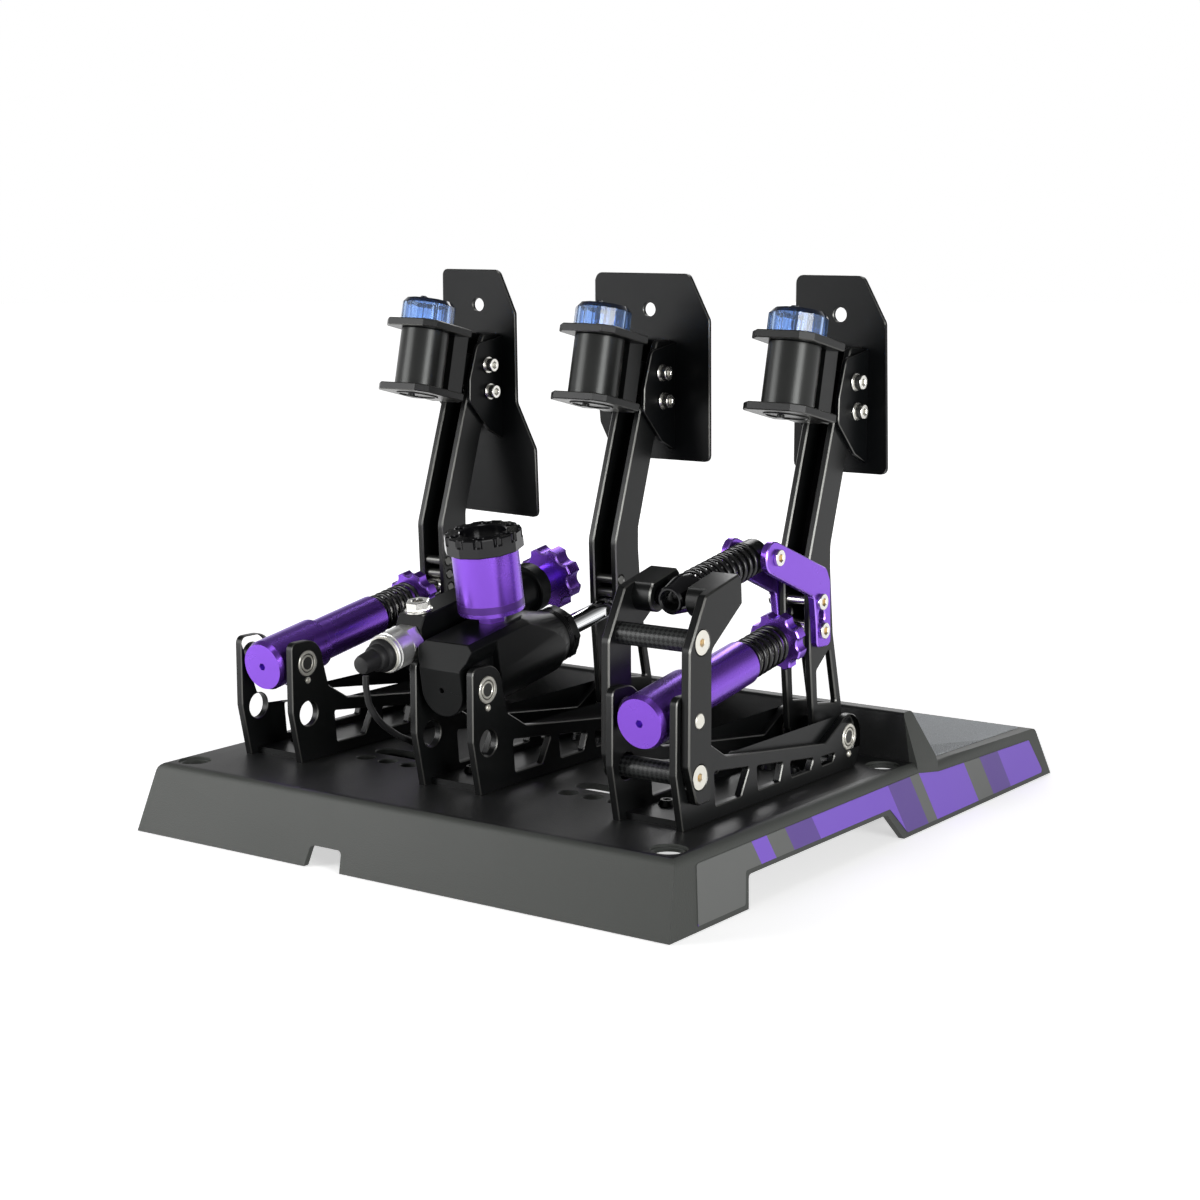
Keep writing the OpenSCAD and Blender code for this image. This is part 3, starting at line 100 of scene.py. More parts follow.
class Wiring:
    """Adds shader or geometry nodes to a tree and links them by socket name."""

    def __init__(self, tree: bpy.types.NodeTree) -> None:
        """Empties the tree.

        Args:
            tree: The node tree to fill.
        """
        self.tree = tree
        tree.nodes.clear()

    def add(self, kind: str, inputs: dict[str | int, object] | None = None, **settings: object) -> bpy.types.Node:
        """Adds one node.

        Args:
            kind: Blender's name of the node type.
            inputs: Values or sockets for the node's inputs, by name or number.
            settings: Attributes of the node.

        Returns:
            The new node.
        """
        node = self.tree.nodes.new(kind)
        for name, value in settings.items():
            setattr(node, name, value)
        for name, value in (inputs or {}).items():
            if isinstance(value, bpy.types.NodeSocket):
                self.tree.links.new(value, node.inputs[name])
            else:
                node.inputs[name].default_value = value
        return node

    def math(self, operation: str, *values: object) -> bpy.types.NodeSocket:
        """Adds a Math node.

        Args:
            operation: The operation's name.
            values: Numbers or sockets, in the order of the inputs.

        Returns:
            The node's output.
        """
        settings = {"operation": operation}
        kind = "ShaderNodeMath"
        return self.add(kind, dict(enumerate(values)), **settings).outputs[0]


@dataclass(frozen=True)
class Finish:
    """A surface finish: its colour, shine and fine relief."""

    name: str
    colour: Colour
    slot: str
    metallic: float = 0.0
    roughness: float = 0.4
    specular: float = 0.5
    coat: float = 0.0
    relief: Relief = Relief.BLASTED
    grain_mm: float = 0.35
    depth_mm: float = 0.02
    drift: float = 0.08
    drift_mm: float = 25.0
    rough_drift: float = 0.12
    second: Colour | None = None
    direction: tuple[float, float, float] = (1.0, 1.0, 1.0)
    bands: tuple[tuple[float, Colour], ...] = ()
    band_along: tuple[float, float, float] = (0.0, 1.0, 0.0)
    clear: float = 0.0

    def material(self) -> bpy.types.Material:
        """Returns the finish as a material, built once."""
        return _material(self)


@functools.cache
def _material(finish: Finish) -> bpy.types.Material:
    """Builds the node tree of a finish.

    Args:
        finish: The finish to build.

    Returns:
        The material.
    """
    material = bpy.data.materials.new(finish.name)
    material.use_nodes = True
    wiring = Wiring(material.node_tree)
    place = wiring.add("ShaderNodeTexCoord").outputs["Object"]
    broad = wiring.add(
        "ShaderNodeTexNoise",
        {"Vector": place, "Scale": 1 / (finish.drift_mm * MM), "Detail": 4.0, "Roughness": 0.6},
    ).outputs["Fac"]
    dark = [c * (1 - finish.drift) for c in finish.colour]
    light = [min(1.0, c * (1 + finish.drift)) for c in finish.colour]
    tint = wiring.add("ShaderNodeMix", {"Factor": broad}, data_type="RGBA")
    tint.inputs["A"].default_value = (*dark, 1)
    tint.inputs["B"].default_value = (*light, 1)
    colour = tint.outputs["Result"]
    if finish.bands:
        colour = _banded(wiring, finish, place)
    stretched = wiring.add(
        "ShaderNodeMapping", {"Vector": place, "Scale": finish.direction}
    ).outputs["Vector"]
    height = _relief(wiring, finish, stretched)
    if finish.second is not None:
        fleck = wiring.add(
            "ShaderNodeMapRange", {"Value": height, "From Min": 0.45, "From Max": 0.62}
        ).outputs["Result"]
        colour = _mixed(wiring, fleck, colour, finish.second)
    rough = wiring.add(
        "ShaderNodeMapRange",
        {
            "Value": broad,
            "To Min": finish.roughness * (1 - finish.rough_drift),
            "To Max": min(1.0, finish.roughness * (1 + finish.rough_drift)),
        },
    ).outputs["Result"]
    shader = wiring.add(
        "ShaderNodeBsdfPrincipled",
        {"Base Color": colour, "Roughness": rough, "Metallic": finish.metallic,
         "Specular IOR Level": finish.specular, "Coat Weight": finish.coat, "Coat Roughness": 0.08,
         "Transmission Weight": finish.clear},
    )
    if finish.relief is not Relief.SMOOTH:
        bump = wiring.add(
            "ShaderNodeBump", {"Height": height, "Strength": 1.0, "Distance": finish.depth_mm * MM}
        ).outputs["Normal"]
        wiring.tree.links.new(bump, shader.inputs["Normal"])
    wiring.add("ShaderNodeOutputMaterial", {"Surface": shader.outputs["BSDF"]})
    return material


def _mixed(wiring: Wiring, factor: bpy.types.NodeSocket, below: bpy.types.NodeSocket,
           above: Colour) -> bpy.types.NodeSocket:
    """Lays one colour over another.

    Args:
        wiring: The material's nodes.
        factor: How much of the upper colour shows.
        below: The lower colour.
        above: The upper colour.

    Returns:
        The mixed colour.
    """
    mix = wiring.add("ShaderNodeMix", {"Factor": factor}, data_type="RGBA")
    mix.inputs["B"].default_value = (*above, 1)
    wiring.tree.links.new(below, mix.inputs["A"])
    return mix.outputs["Result"]


def _banded(wiring: Wiring, finish: Finish, place: bpy.types.NodeSocket) -> bpy.types.NodeSocket:
    """Adds plain bands of colour across a finish.

    Args:
        wiring: The material's nodes.
        finish: The finish, with the start of each band in millimetres.
        place: Coordinates in metres.

    Returns:
        The banded colour.
    """
    along = wiring.add("ShaderNodeVectorMath", {0: place, 1: finish.band_along}, operation="DOT_PRODUCT").outputs["Value"]
    colour = wiring.add("ShaderNodeRGB").outputs[0]
    colour.default_value = (*finish.bands[0][1], 1)
    for start, shade in finish.bands[1:]:
        beyond = wiring.math("GREATER_THAN", along, start * MM)
        colour = _mixed(wiring, beyond, colour, shade)
    return colour


def _relief(wiring: Wiring, finish: Finish, place: bpy.types.NodeSocket) -> bpy.types.NodeSocket:
    """Adds the height pattern of a finish.

    Args:
        wiring: The material's nodes.
        finish: The finish.
        place: Coordinates to draw the pattern on.

    Returns:
        The height, from 0 to 1.
    """
    scale = 1 / (finish.grain_mm * MM)
    if finish.relief is Relief.MOULDED:
        cells = wiring.add(
            "ShaderNodeTexVoronoi", {"Vector": place, "Scale": scale, "Smoothness": 0.6}, feature="SMOOTH_F1"
        ).outputs["Distance"]
        return wiring.math("SUBTRACT", 1.0, cells)
    if finish.relief is Relief.WOVEN:
        around = wiring.add("ShaderNodeUVMap").outputs["UV"]
        turned = wiring.add("ShaderNodeMapping", {"Vector": around, "Rotation": (0, 0, math.pi / 4)}).outputs["Vector"]
        return wiring.add("ShaderNodeTexChecker", {"Vector": turned, "Scale": 1 / finish.grain_mm}).outputs["Fac"]
    detail = 1.0 if finish.relief is Relief.BRUSHED else 3.0
    return wiring.add(
        "ShaderNodeTexNoise", {"Vector": place, "Scale": scale, "Detail": detail, "Roughness": 0.65}
    ).outputs["Fac"]


GREY = (0.135, 0.140, 0.134)
LILAC = (0.225, 0.11, 0.64)
PLUM = (0.125, 0.068, 0.32)
MOULDING = Finish("charcoal_moulding", (0.052, 0.0555, 0.0505), "base_moulding", roughness=0.5, specular=0.3,
                  relief=Relief.MOULDED, grain_mm=0.9, depth_mm=0.06, drift=0.1, drift_mm=60)
# Painted shade: a darker copy of the charcoal moulding for the up-facing deck and ridge top.
SHADED_DECK = Finish("painted_shade_deck", (0.013, 0.0135, 0.0135), "base_moulding", roughness=0.42, specular=0.3,
              relief=Relief.MOULDED, grain_mm=0.9, depth_mm=0.05, drift=0.1, drift_mm=60)
FILM = Finish("striped_film", GREY, "side_film", roughness=0.42, specular=0.3, grain_mm=0.5, depth_mm=0.01,
              drift=0.05,
              bands=((-400.0, LILAC), (-176.0, PLUM), (-150.0, GREY), (-128.0, LILAC), (-70.0, GREY), (-58.0, PLUM),
                     (-30.0, LILAC), (62.0, PLUM), (92.0, GREY), (112.0, LILAC), (128.0, GREY), (206.0, PLUM)),
              band_along=(0.0, 1.0, -0.55))
# Painted light and shade: the speckled grip is a lighter grey before a straight line across it and a darker grey beyond
# it.
LIT_AND_SHADED_GRIP = Finish("speckled_grip_painted_light", (0.43, 0.45, 0.47), "heel_grip", roughness=0.8, specular=0.25, grain_mm=0.7,
              depth_mm=0.3, drift=0.08, second=(0.60, 0.625, 0.65),
              bands=((-900.0, (0.43, 0.45, 0.47)), (93.0, (0.27, 0.283, 0.297))),
              band_along=(-0.883, 0.469, 0.0))
BLACK = Finish("black_anodised", (0.006, 0.0065, 0.0065), "black_anodised", roughness=0.3, specular=0.22,
               grain_mm=0.25, depth_mm=0.005, drift=0.15, drift_mm=40)
# Painted highlight: a bright metal finish for the chamfers of black parts, also used as a painted reflection on the
# motor holders' undersides.
PAINTED_SHEEN = Finish("painted_sheen_edge", (0.11, 0.11, 0.104), "black_anodised", metallic=0.9, roughness=0.33, drift=0.1)
MATTE = Finish("matte_black", (0.005, 0.0055, 0.0055), "black_anodised", roughness=0.33, specular=0.1,
               grain_mm=0.25, depth_mm=0.005, drift=0.15, drift_mm=40)
SHEET = Finish("black_sheet", (0.004, 0.0045, 0.005), "black_sheet", roughness=0.34, specular=0.1,
               grain_mm=0.4, depth_mm=0.01, drift=0.15, drift_mm=50)
GLOSS = Finish("gloss_black", (0.005, 0.005, 0.006), "black_anodised", roughness=0.14, specular=0.4,
               relief=Relief.SMOOTH, drift=0.1)
MOTOR = Finish("motor_black", (0.03, 0.031, 0.030), "motor_black", metallic=0.7, roughness=0.3,
               relief=Relief.BRUSHED, grain_mm=0.4, depth_mm=0.004, direction=(1, 1, 0.05))
STEEL = Finish("bright_steel", (0.74, 0.73, 0.69), "steel", metallic=1.0, roughness=0.24,
               relief=Relief.BRUSHED, grain_mm=0.3, depth_mm=0.004, drift=0.06)
CREAM = Finish("bearing_steel", (0.80, 0.78, 0.70), "steel", metallic=0.6, roughness=0.3, relief=Relief.BRUSHED,
               grain_mm=0.3, depth_mm=0.003, drift=0.05)
SHIELD = Finish("bearing_shield", (0.16, 0.155, 0.14), "steel", metallic=0.8, roughness=0.42, drift=0.1)
PIN = Finish("dark_pin", (0.10, 0.10, 0.095), "steel", metallic=0.9, roughness=0.35, relief=Relief.BRUSHED,
             grain_mm=0.3, depth_mm=0.004, drift=0.1)
CHROME = Finish("chrome", (0.84, 0.85, 0.86), "chrome", metallic=1.0, roughness=0.06,
                relief=Relief.SMOOTH, drift=0.03)
GILT = Finish("gilt_recess", (0.70, 0.46, 0.18), "steel", metallic=0.9, roughness=0.35, drift=0.1)
PURPLE = Finish("purple_anodised", (0.235, 0.085, 0.64), "purple_anodised", metallic=0.85, roughness=0.27,
                grain_mm=0.22, depth_mm=0.005, drift=0.06, drift_mm=30)
# Painted highlight: a brighter copy of the purple anodising for the chamfers of purple parts.
PAINTED_PURPLE_SHEEN = Finish("painted_purple_sheen", (0.42, 0.22, 0.90), "purple_anodised", metallic=0.9, roughness=0.25, drift=0.05)
DUSK = Finish("dusk_purple", (0.10, 0.035, 0.26), "purple_anodised", metallic=0.7, roughness=0.35,
              grain_mm=0.22, depth_mm=0.005, drift=0.06)
SATIN = Finish("satin_steel", (0.82, 0.82, 0.80), "steel", metallic=0.85, roughness=0.3, relief=Relief.BRUSHED,
               grain_mm=0.3, depth_mm=0.003, drift=0.05)
SPRING = Finish("spring_black", (0.006, 0.006, 0.0065), "spring_black", roughness=0.2, specular=0.5,
                relief=Relief.SMOOTH, drift=0.15)
RUBBER = Finish("soft_rubber", (0.010, 0.010, 0.0105), "rubber", roughness=0.5, specular=0.3,
                grain_mm=0.3, depth_mm=0.02, drift=0.15)
CASE = Finish("case_plastic", (0.02, 0.02, 0.021), "case_plastic", roughness=0.6, relief=Relief.MOULDED,
              grain_mm=0.6, depth_mm=0.03)
BOARD = Finish("circuit_board", (0.02, 0.09, 0.045), "board", roughness=0.35, coat=0.3, drift=0.2, drift_mm=6)
CARBON = Finish("carbon_weave", (0.006, 0.0065, 0.0065), "carbon", roughness=0.38, specular=0.25, coat=0.12,
                relief=Relief.WOVEN, grain_mm=2.2, depth_mm=0.04, drift=0.1, second=(0.035, 0.037, 0.036))
GLASS = Finish("clear_dome", (0.42, 0.60, 0.94), "clear_dome", roughness=0.05, relief=Relief.SMOOTH,
               drift=0.02, clear=0.92)
SMOKE = Finish("smoked_top", (0.012, 0.018, 0.035), "clear_dome", roughness=0.06, relief=Relief.SMOOTH,
               drift=0.05, clear=0.25)


def mesh_object(name: str, mesh: bpy.types.Mesh) -> bpy.types.Object:
    """Links a new object with this mesh.

    Args:
        name: The piece's name.
        mesh: Its mesh, in metres.

    Returns:
        The object, at the origin.
    """
    made = bpy.data.objects.new(name, mesh)
    bpy.context.scene.collection.objects.link(made)
    return made


def mark_sharp(shape: bmesh.types.BMesh, angle: float) -> None:
    """Smooths every face and marks the edges that stay sharp.

    Args:
        shape: The mesh to mark.
        angle: Turn between faces, in degrees, from which an edge is sharp.
    """
    limit = math.radians(angle)
    for face in shape.faces:
        face.smooth = True
    for edge in shape.edges:
        one_kind = len({face.material_index for face in edge.link_faces}) == 1
        edge.smooth = edge.is_manifold and one_kind and edge.calc_face_angle(0.0) < limit


def settled(piece: bpy.types.Object) -> bpy.types.Object:
    """Turns a piece's modifiers into plain mesh.

    Args:
        piece: The piece, with live modifiers.

    Returns:
        The same object, with its final mesh and no modifiers.
    """
    bpy.context.view_layer.update()
    graph = bpy.context.evaluated_depsgraph_get()
    old = piece.data
    mesh = bpy.data.meshes.new_from_object(piece.evaluated_get(graph), preserve_all_data_layers=True, depsgraph=graph)
    piece.modifiers.clear()
    piece.data = mesh
    if old.users == 0:
        bpy.data.meshes.remove(old)
    return piece


def bevelled(piece: bpy.types.Object, width: float, segments: int = 2, angle: float = 32.0) -> bpy.types.Object:
    """Rounds a piece's sharp edges.

    Args:
        piece: The piece.
        width: Width of the rounding in millimetres.
        segments: Number of faces across it.
        angle: Turn between faces, in degrees, from which an edge is rounded.

    Returns:
        The same object with its final mesh.
    """
    cut = piece.modifiers.new("edges", "BEVEL")
    cut.width = width * MM
    cut.segments = segments
    cut.limit_method = "ANGLE"
    cut.angle_limit = math.radians(angle)
    cut.use_clamp_overlap = False
    cut.miter_outer = "MITER_ARC"
    cut.harden_normals = True
    return settled(piece)


class PlateEdges:
    """Cuts a fine chamfer round the flat faces of a plate-like mesh."""

    def __init__(self, shape: bmesh.types.BMesh, width: float, least_area: float = 12.0) -> None:
        """Takes a closed mesh in metres.

        Args:
            shape: The mesh.
            width: Width of the chamfer in millimetres.
            least_area: Smallest face that is worked, in square millimetres.
        """
        self.shape = shape
        self.width = width * MM
        self.least_area = least_area * MM * MM

    def work(self, axis: Vector) -> None:
        """Works the flat faces that look along an axis, on both sides.

        Args:
            axis: The axis.
        """
        for side in (axis, -axis):
            for region in self.regions(side):
                self.cut(region, side)

    def regions(self, normal: Vector) -> list[set[bmesh.types.BMFace]]:
        """Finds the flat regions that look one way.

        Args:
            normal: The direction.

        Returns:
            The faces of each region that is large enough.
        """
        left = {f for f in self.shape.faces if f.normal.dot(normal) > 0.9995}
        found = []
        while left:
            region = {left.pop()}
            edge_of = list(region)
            while edge_of:
                near = {f for e in edge_of.pop().edges for f in e.link_faces if f in left}
                left -= near
                region |= near
                edge_of.extend(near)
            if sum(f.calc_area() for f in region) >= self.least_area:
                found.append(region)
        return found

    def rims(self, region: set[bmesh.types.BMFace], normal: Vector) -> list[list[tuple]]:
        """Follows the rims of a region.

        Args:
            region: Its faces.
            normal: The direction that it looks.

        Returns:
            Rims as lists of (corner, inward direction, whether a wall falls away) for the edge that leaves each corner.
        """
        leaving = {}
        for face in region:
            for loop in face.loops:
                others = [f for f in loop.edge.link_faces if f not in region]
                if not others:
                    continue
                inward = normal.cross(loop.link_loop_next.vert.co - loop.vert.co).normalized()
                falls = abs(others[0].normal.dot(normal)) < 0.1 and others[0].normal.dot(inward) < -0.9
                if loop.vert in leaving:
                    return []
                leaving[loop.vert] = (loop.link_loop_next.vert, inward, falls)
        found = []
        while leaving:
            corner = start = next(iter(leaving))
            rim = []
            while corner in leaving:
                after, inward, falls = leaving.pop(corner)
                rim.append((corner, inward, falls))
                corner = after
            if corner is not start:
                return []
            found.append(rim)
        return found

    def cut(self, region: set[bmesh.types.BMFace], normal: Vector) -> None:
        """Chamfers one region's rims and fills it again.

        Args:
            region: Its faces.
            normal: The direction that it looks.
        """
        rims = self.rims(region, normal)
        if not rims:
            return
        inner = []
        for rim in rims:
            row = []
            for k, (corner, ahead, falls) in enumerate(rim):
                _, behind, fell = rim[k - 1]
                lean = 1 + ahead.dot(behind)
                if falls and fell and lean > 0.3:
                    row.append(self.shape.verts.new(corner.co + (ahead + behind) * self.width / lean))
                else:
                    row.append(corner)
            inner.append(row)
        bmesh.ops.delete(self.shape, geom=list(region), context="FACES")
        flat = [v for row in inner for v in row]
        for triangle in geometry.tessellate_polygon([[v.co for v in row] for row in inner]):
            corners = [flat[k] for k in triangle]
            if geometry.normal([v.co for v in corners]).dot(normal) < 0:
                corners.reverse()
            if self.shape.faces.get(corners) is None:
                self.shape.faces.new(corners)
        # The chamfer faces take material slot 1, which holds a painted highlight finish where one is given.
        for rim, row in zip(rims, inner):
            lowered = [corner for (corner, _, _), top in zip(rim, row) if corner is not top]
            for k, (corner, _, _) in enumerate(rim):
                n = (k + 1) % len(rim)
                ring = list(dict.fromkeys([corner, rim[n][0], row[n], row[k]]))
                if len(ring) > 2 and self.shape.faces.get(ring) is None:
                    self.shape.faces.new(ring).material_index = 1
            for corner in lowered:
                corner.co -= normal * self.width


class Recipe:
    """A Geometry Nodes tree with named inputs, which ends in plain dressed mesh."""

    def __init__(self, name: str, inputs: dict[str, str]) -> None:
        """Starts the tree.

        Args:
            name: The tree's name.
            inputs: Socket type of each named input besides the geometry and the material.
        """
        self.tree = bpy.data.node_groups.new(name, "GeometryNodeTree")
        self.keys: dict[str, str] = {}
        face = self.tree.interface
        face.new_socket("Geometry", in_out="INPUT", socket_type="NodeSocketGeometry")
        for label, kind in {**inputs, "Material": "NodeSocketMaterial"}.items():
            self.keys[label] = face.new_socket(label, in_out="INPUT", socket_type=kind).identifier
        face.new_socket("Geometry", in_out="OUTPUT", socket_type="NodeSocketGeometry")
        self.wiring = Wiring(self.tree)
        self.given = self.wiring.add("NodeGroupInput").outputs

    def close(self, made: bpy.types.NodeSocket) -> Recipe:
        """Ends the tree.

        Args:
            made: The geometry so far.

        Returns:
            This recipe.
        """
        real = self.wiring.add("GeometryNodeRealizeInstances", {"Geometry": made}).outputs["Geometry"]
        dressed = self.wiring.add(
            "GeometryNodeSetMaterial", {"Geometry": real, "Material": self.given["Material"]}
        ).outputs["Geometry"]
        self.wiring.add("NodeGroupOutput", {"Geometry": dressed})
        return self

    def serve(self, name: str, source: bpy.types.Mesh, finish: Finish, **values: object) -> bpy.types.Object:
        """Makes a piece by this recipe.

        Args:
            name: The piece's name.
            source: The mesh that the recipe starts from.
            finish: The piece's finish.
            values: Values of the named inputs.

        Returns:
            The piece, with plain mesh.
        """
        piece = mesh_object(name, source)
        step = piece.modifiers.new("recipe", "NODES")
        step.node_group = self.tree
        for label, value in {**values, "Material": finish.material()}.items():
            step[self.keys[label]] = value
        return settled(piece)


@functools.cache
def coil_recipe() -> Recipe:
    """Returns the recipe of a helical spring along local Z."""
    recipe = Recipe("coil", {"Radius": "NodeSocketFloat", "Wire": "NodeSocketFloat", "Turns": "NodeSocketFloat",
                             "Height": "NodeSocketFloat"})
    line = recipe.wiring.add(
        "GeometryNodeCurveSpiral",
        {"Resolution": 40, "Rotations": recipe.given["Turns"], "Start Radius": recipe.given["Radius"],
         "End Radius": recipe.given["Radius"], "Height": recipe.given["Height"]},
    ).outputs["Curve"]
    section = recipe.wiring.add(
        "GeometryNodeCurvePrimitiveCircle", {"Resolution": 12, "Radius": recipe.given["Wire"]}
    ).outputs["Curve"]
    wire = recipe.wiring.add(
        "GeometryNodeCurveToMesh", {"Curve": line, "Profile Curve": section, "Fill Caps": True}
    ).outputs["Mesh"]
    return recipe.close(wire)


@functools.cache
def placed_recipe() -> Recipe:
    """Returns the recipe that sets one part at each point, turned by the points' attribute."""
    recipe = Recipe("placed_parts", {"Part": "NodeSocketObject"})
    part = recipe.wiring.add("GeometryNodeObjectInfo", {"Object": recipe.given["Part"]}).outputs["Geometry"]
    angles = recipe.wiring.add("GeometryNodeInputNamedAttribute", {"Name": "turn"}, data_type="FLOAT_VECTOR")
    turn = recipe.wiring.add("FunctionNodeEulerToRotation", {"Euler": angles.outputs["Attribute"]}).outputs["Rotation"]
    laid = recipe.wiring.add(
        "GeometryNodeInstanceOnPoints", {"Points": recipe.given["Geometry"], "Instance": part, "Rotation": turn}
    ).outputs["Instances"]
    return recipe.close(laid)


def placed(name: str, part: Form, finish: Finish, places: Sequence[Matrix], sharp: float = 32.0) -> bpy.types.Object:
    """Repeats a part.

    Args:
        name: The piece's name.
        part: The part, in its own frame.
        finish: Its finish.
        places: Where each copy goes, in millimetres.
        sharp: Turn between faces, in degrees, from which an edge stays sharp.

    Returns:
        One piece with all the copies.
    """
    pattern = part.made(f"{name}_pattern", finish, sharp=sharp)
    points = bpy.data.meshes.new(name)
    points.from_pydata([place.to_translation() * MM for place in places], [], [])
    turn = points.attributes.new("turn", "FLOAT_VECTOR", "POINT")
    for item, place in zip(turn.data, places):
        item.vector = place.to_euler()
    piece = placed_recipe().serve(name, points, finish, Part=pattern)
    bpy.data.objects.remove(pattern)
    return piece


def across(x: float, y: float, z: float, side: int = 1) -> Matrix:
    """Returns a place whose local Z points outwards along X.

    Args:
        x: Its X.
        y: Its Y.
        z: Its Z.
        side: 1 for +X or -1 for -X.
    """
    return Matrix.Translation((x, y, z)) @ Matrix.Rotation(side * math.pi / 2, 4, "Y")


def leaning(pivot: Vector, towards: Vector) -> Matrix:
    """Returns a place at a pivot whose local Z points at a second pivot, with local X kept.

    Args:
        pivot: The place's origin.
        towards: The point that local Z looks at.
    """
    reach = towards - pivot
    return Matrix.Translation(pivot) @ Matrix.Rotation(math.atan2(-reach.y, reach.z), 4, "X")


class Form:
    """A mesh under construction, in millimetres."""

    def __init__(self) -> None:
        """Starts an empty form."""
        self.shape = bmesh.new()

    def lathe(self, profile: Sequence[Point2], at: Matrix | None = None, sides: int = SIDES, slot: int = 0) -> Form:
        """Adds a turned solid or ring.

        Args:
            profile: Closed outline as (radius, height); points at radius 0 close on the axis.
            at: Place of the axis, whose local Z is the height.
            sides: Number of faces round the axis.
            slot: Material slot of the faces.

        Returns:
            This form.
        """
        at = at or Matrix.Identity(4)
        rings = []
        for radius, height in profile:
            if radius <= 1e-6:
                rings.append([self.shape.verts.new(at @ Vector((0, 0, height)))])
                continue
            turn = [2 * math.pi * k / sides for k in range(sides)]
            rings.append([
                self.shape.verts.new(at @ Vector((radius * math.cos(a), radius * math.sin(a), height))) for a in turn
            ])
        made = []
        for low, high in zip(rings, rings[1:] + rings[:1]):
            for k in range(sides):
                corners = [low[k % len(low)], low[(k + 1) % sides % len(low)],
                           high[(k + 1) % sides % len(high)], high[k % len(high)]]
                corners = list(dict.fromkeys(corners))
                if len(corners) > 2:
                    made.append(self.shape.faces.new(corners))
        for face in made:
            face.material_index = slot
        return self

    def prism(self, outline: Sequence[Point2], low: float, high: float, at: Matrix | None = None,
              slot: int = 0) -> Form:
        """Adds an outline extruded along local Z.

        Args:
            outline: Corners as (x, y), in order.
            low: Start of the extrusion.
            high: End of the extrusion.
            at: Place of the outline.
            slot: Material slot of the faces.

        Returns:
            This form.
        """
        at = at or Matrix.Identity(4)
        bottom = [self.shape.verts.new(at @ Vector((x, y, low))) for x, y in outline]
        top = [self.shape.verts.new(at @ Vector((x, y, high))) for x, y in outline]
        made = [self.shape.faces.new(bottom[::-1]), self.shape.faces.new(top)]
        count = len(outline)
        for k in range(count):
            n = (k + 1) % count
            made.append(self.shape.faces.new([bottom[k], bottom[n], top[n], top[k]]))
        for face in made:
            face.material_index = slot
        return self

    def box(self, low: Sequence[float], high: Sequence[float], at: Matrix | None = None, slot: int = 0) -> Form:
        """Adds a block between two corners.

        Args:
            low: Lowest corner.
            high: Highest corner.
            at: Place of the block.
            slot: Material slot of the faces.

        Returns:
            This form.
        """
        outline = [(low[0], low[1]), (high[0], low[1]), (high[0], high[1]), (low[0], high[1])]
        return self.prism(outline, low[2], high[2], at, slot)

    def made(self, name: str, *finishes: Finish, sharp: float = 32.0, merge: bool = True) -> bpy.types.Object:
        """Finishes the form as an object in metres.

        Args:
            name: The piece's name.
            finishes: Its finishes, one for each material slot.
            sharp: Turn between faces, in degrees, from which an edge stays sharp.
            merge: Whether doubled points are merged and faces turned outwards.

        Returns:
            The new object.
        """
        if merge:
            bmesh.ops.remove_doubles(self.shape, verts=self.shape.verts, dist=1e-4)
            bmesh.ops.recalc_face_normals(self.shape, faces=self.shape.faces)
        bmesh.ops.scale(self.shape, vec=(MM, MM, MM), verts=self.shape.verts)
        mark_sharp(self.shape, sharp)
        mesh = bpy.data.meshes.new(name)
        self.shape.to_mesh(mesh)
        self.shape.free()
        for finish in finishes:
            mesh.materials.append(finish.material())
        return mesh_object(name, mesh)


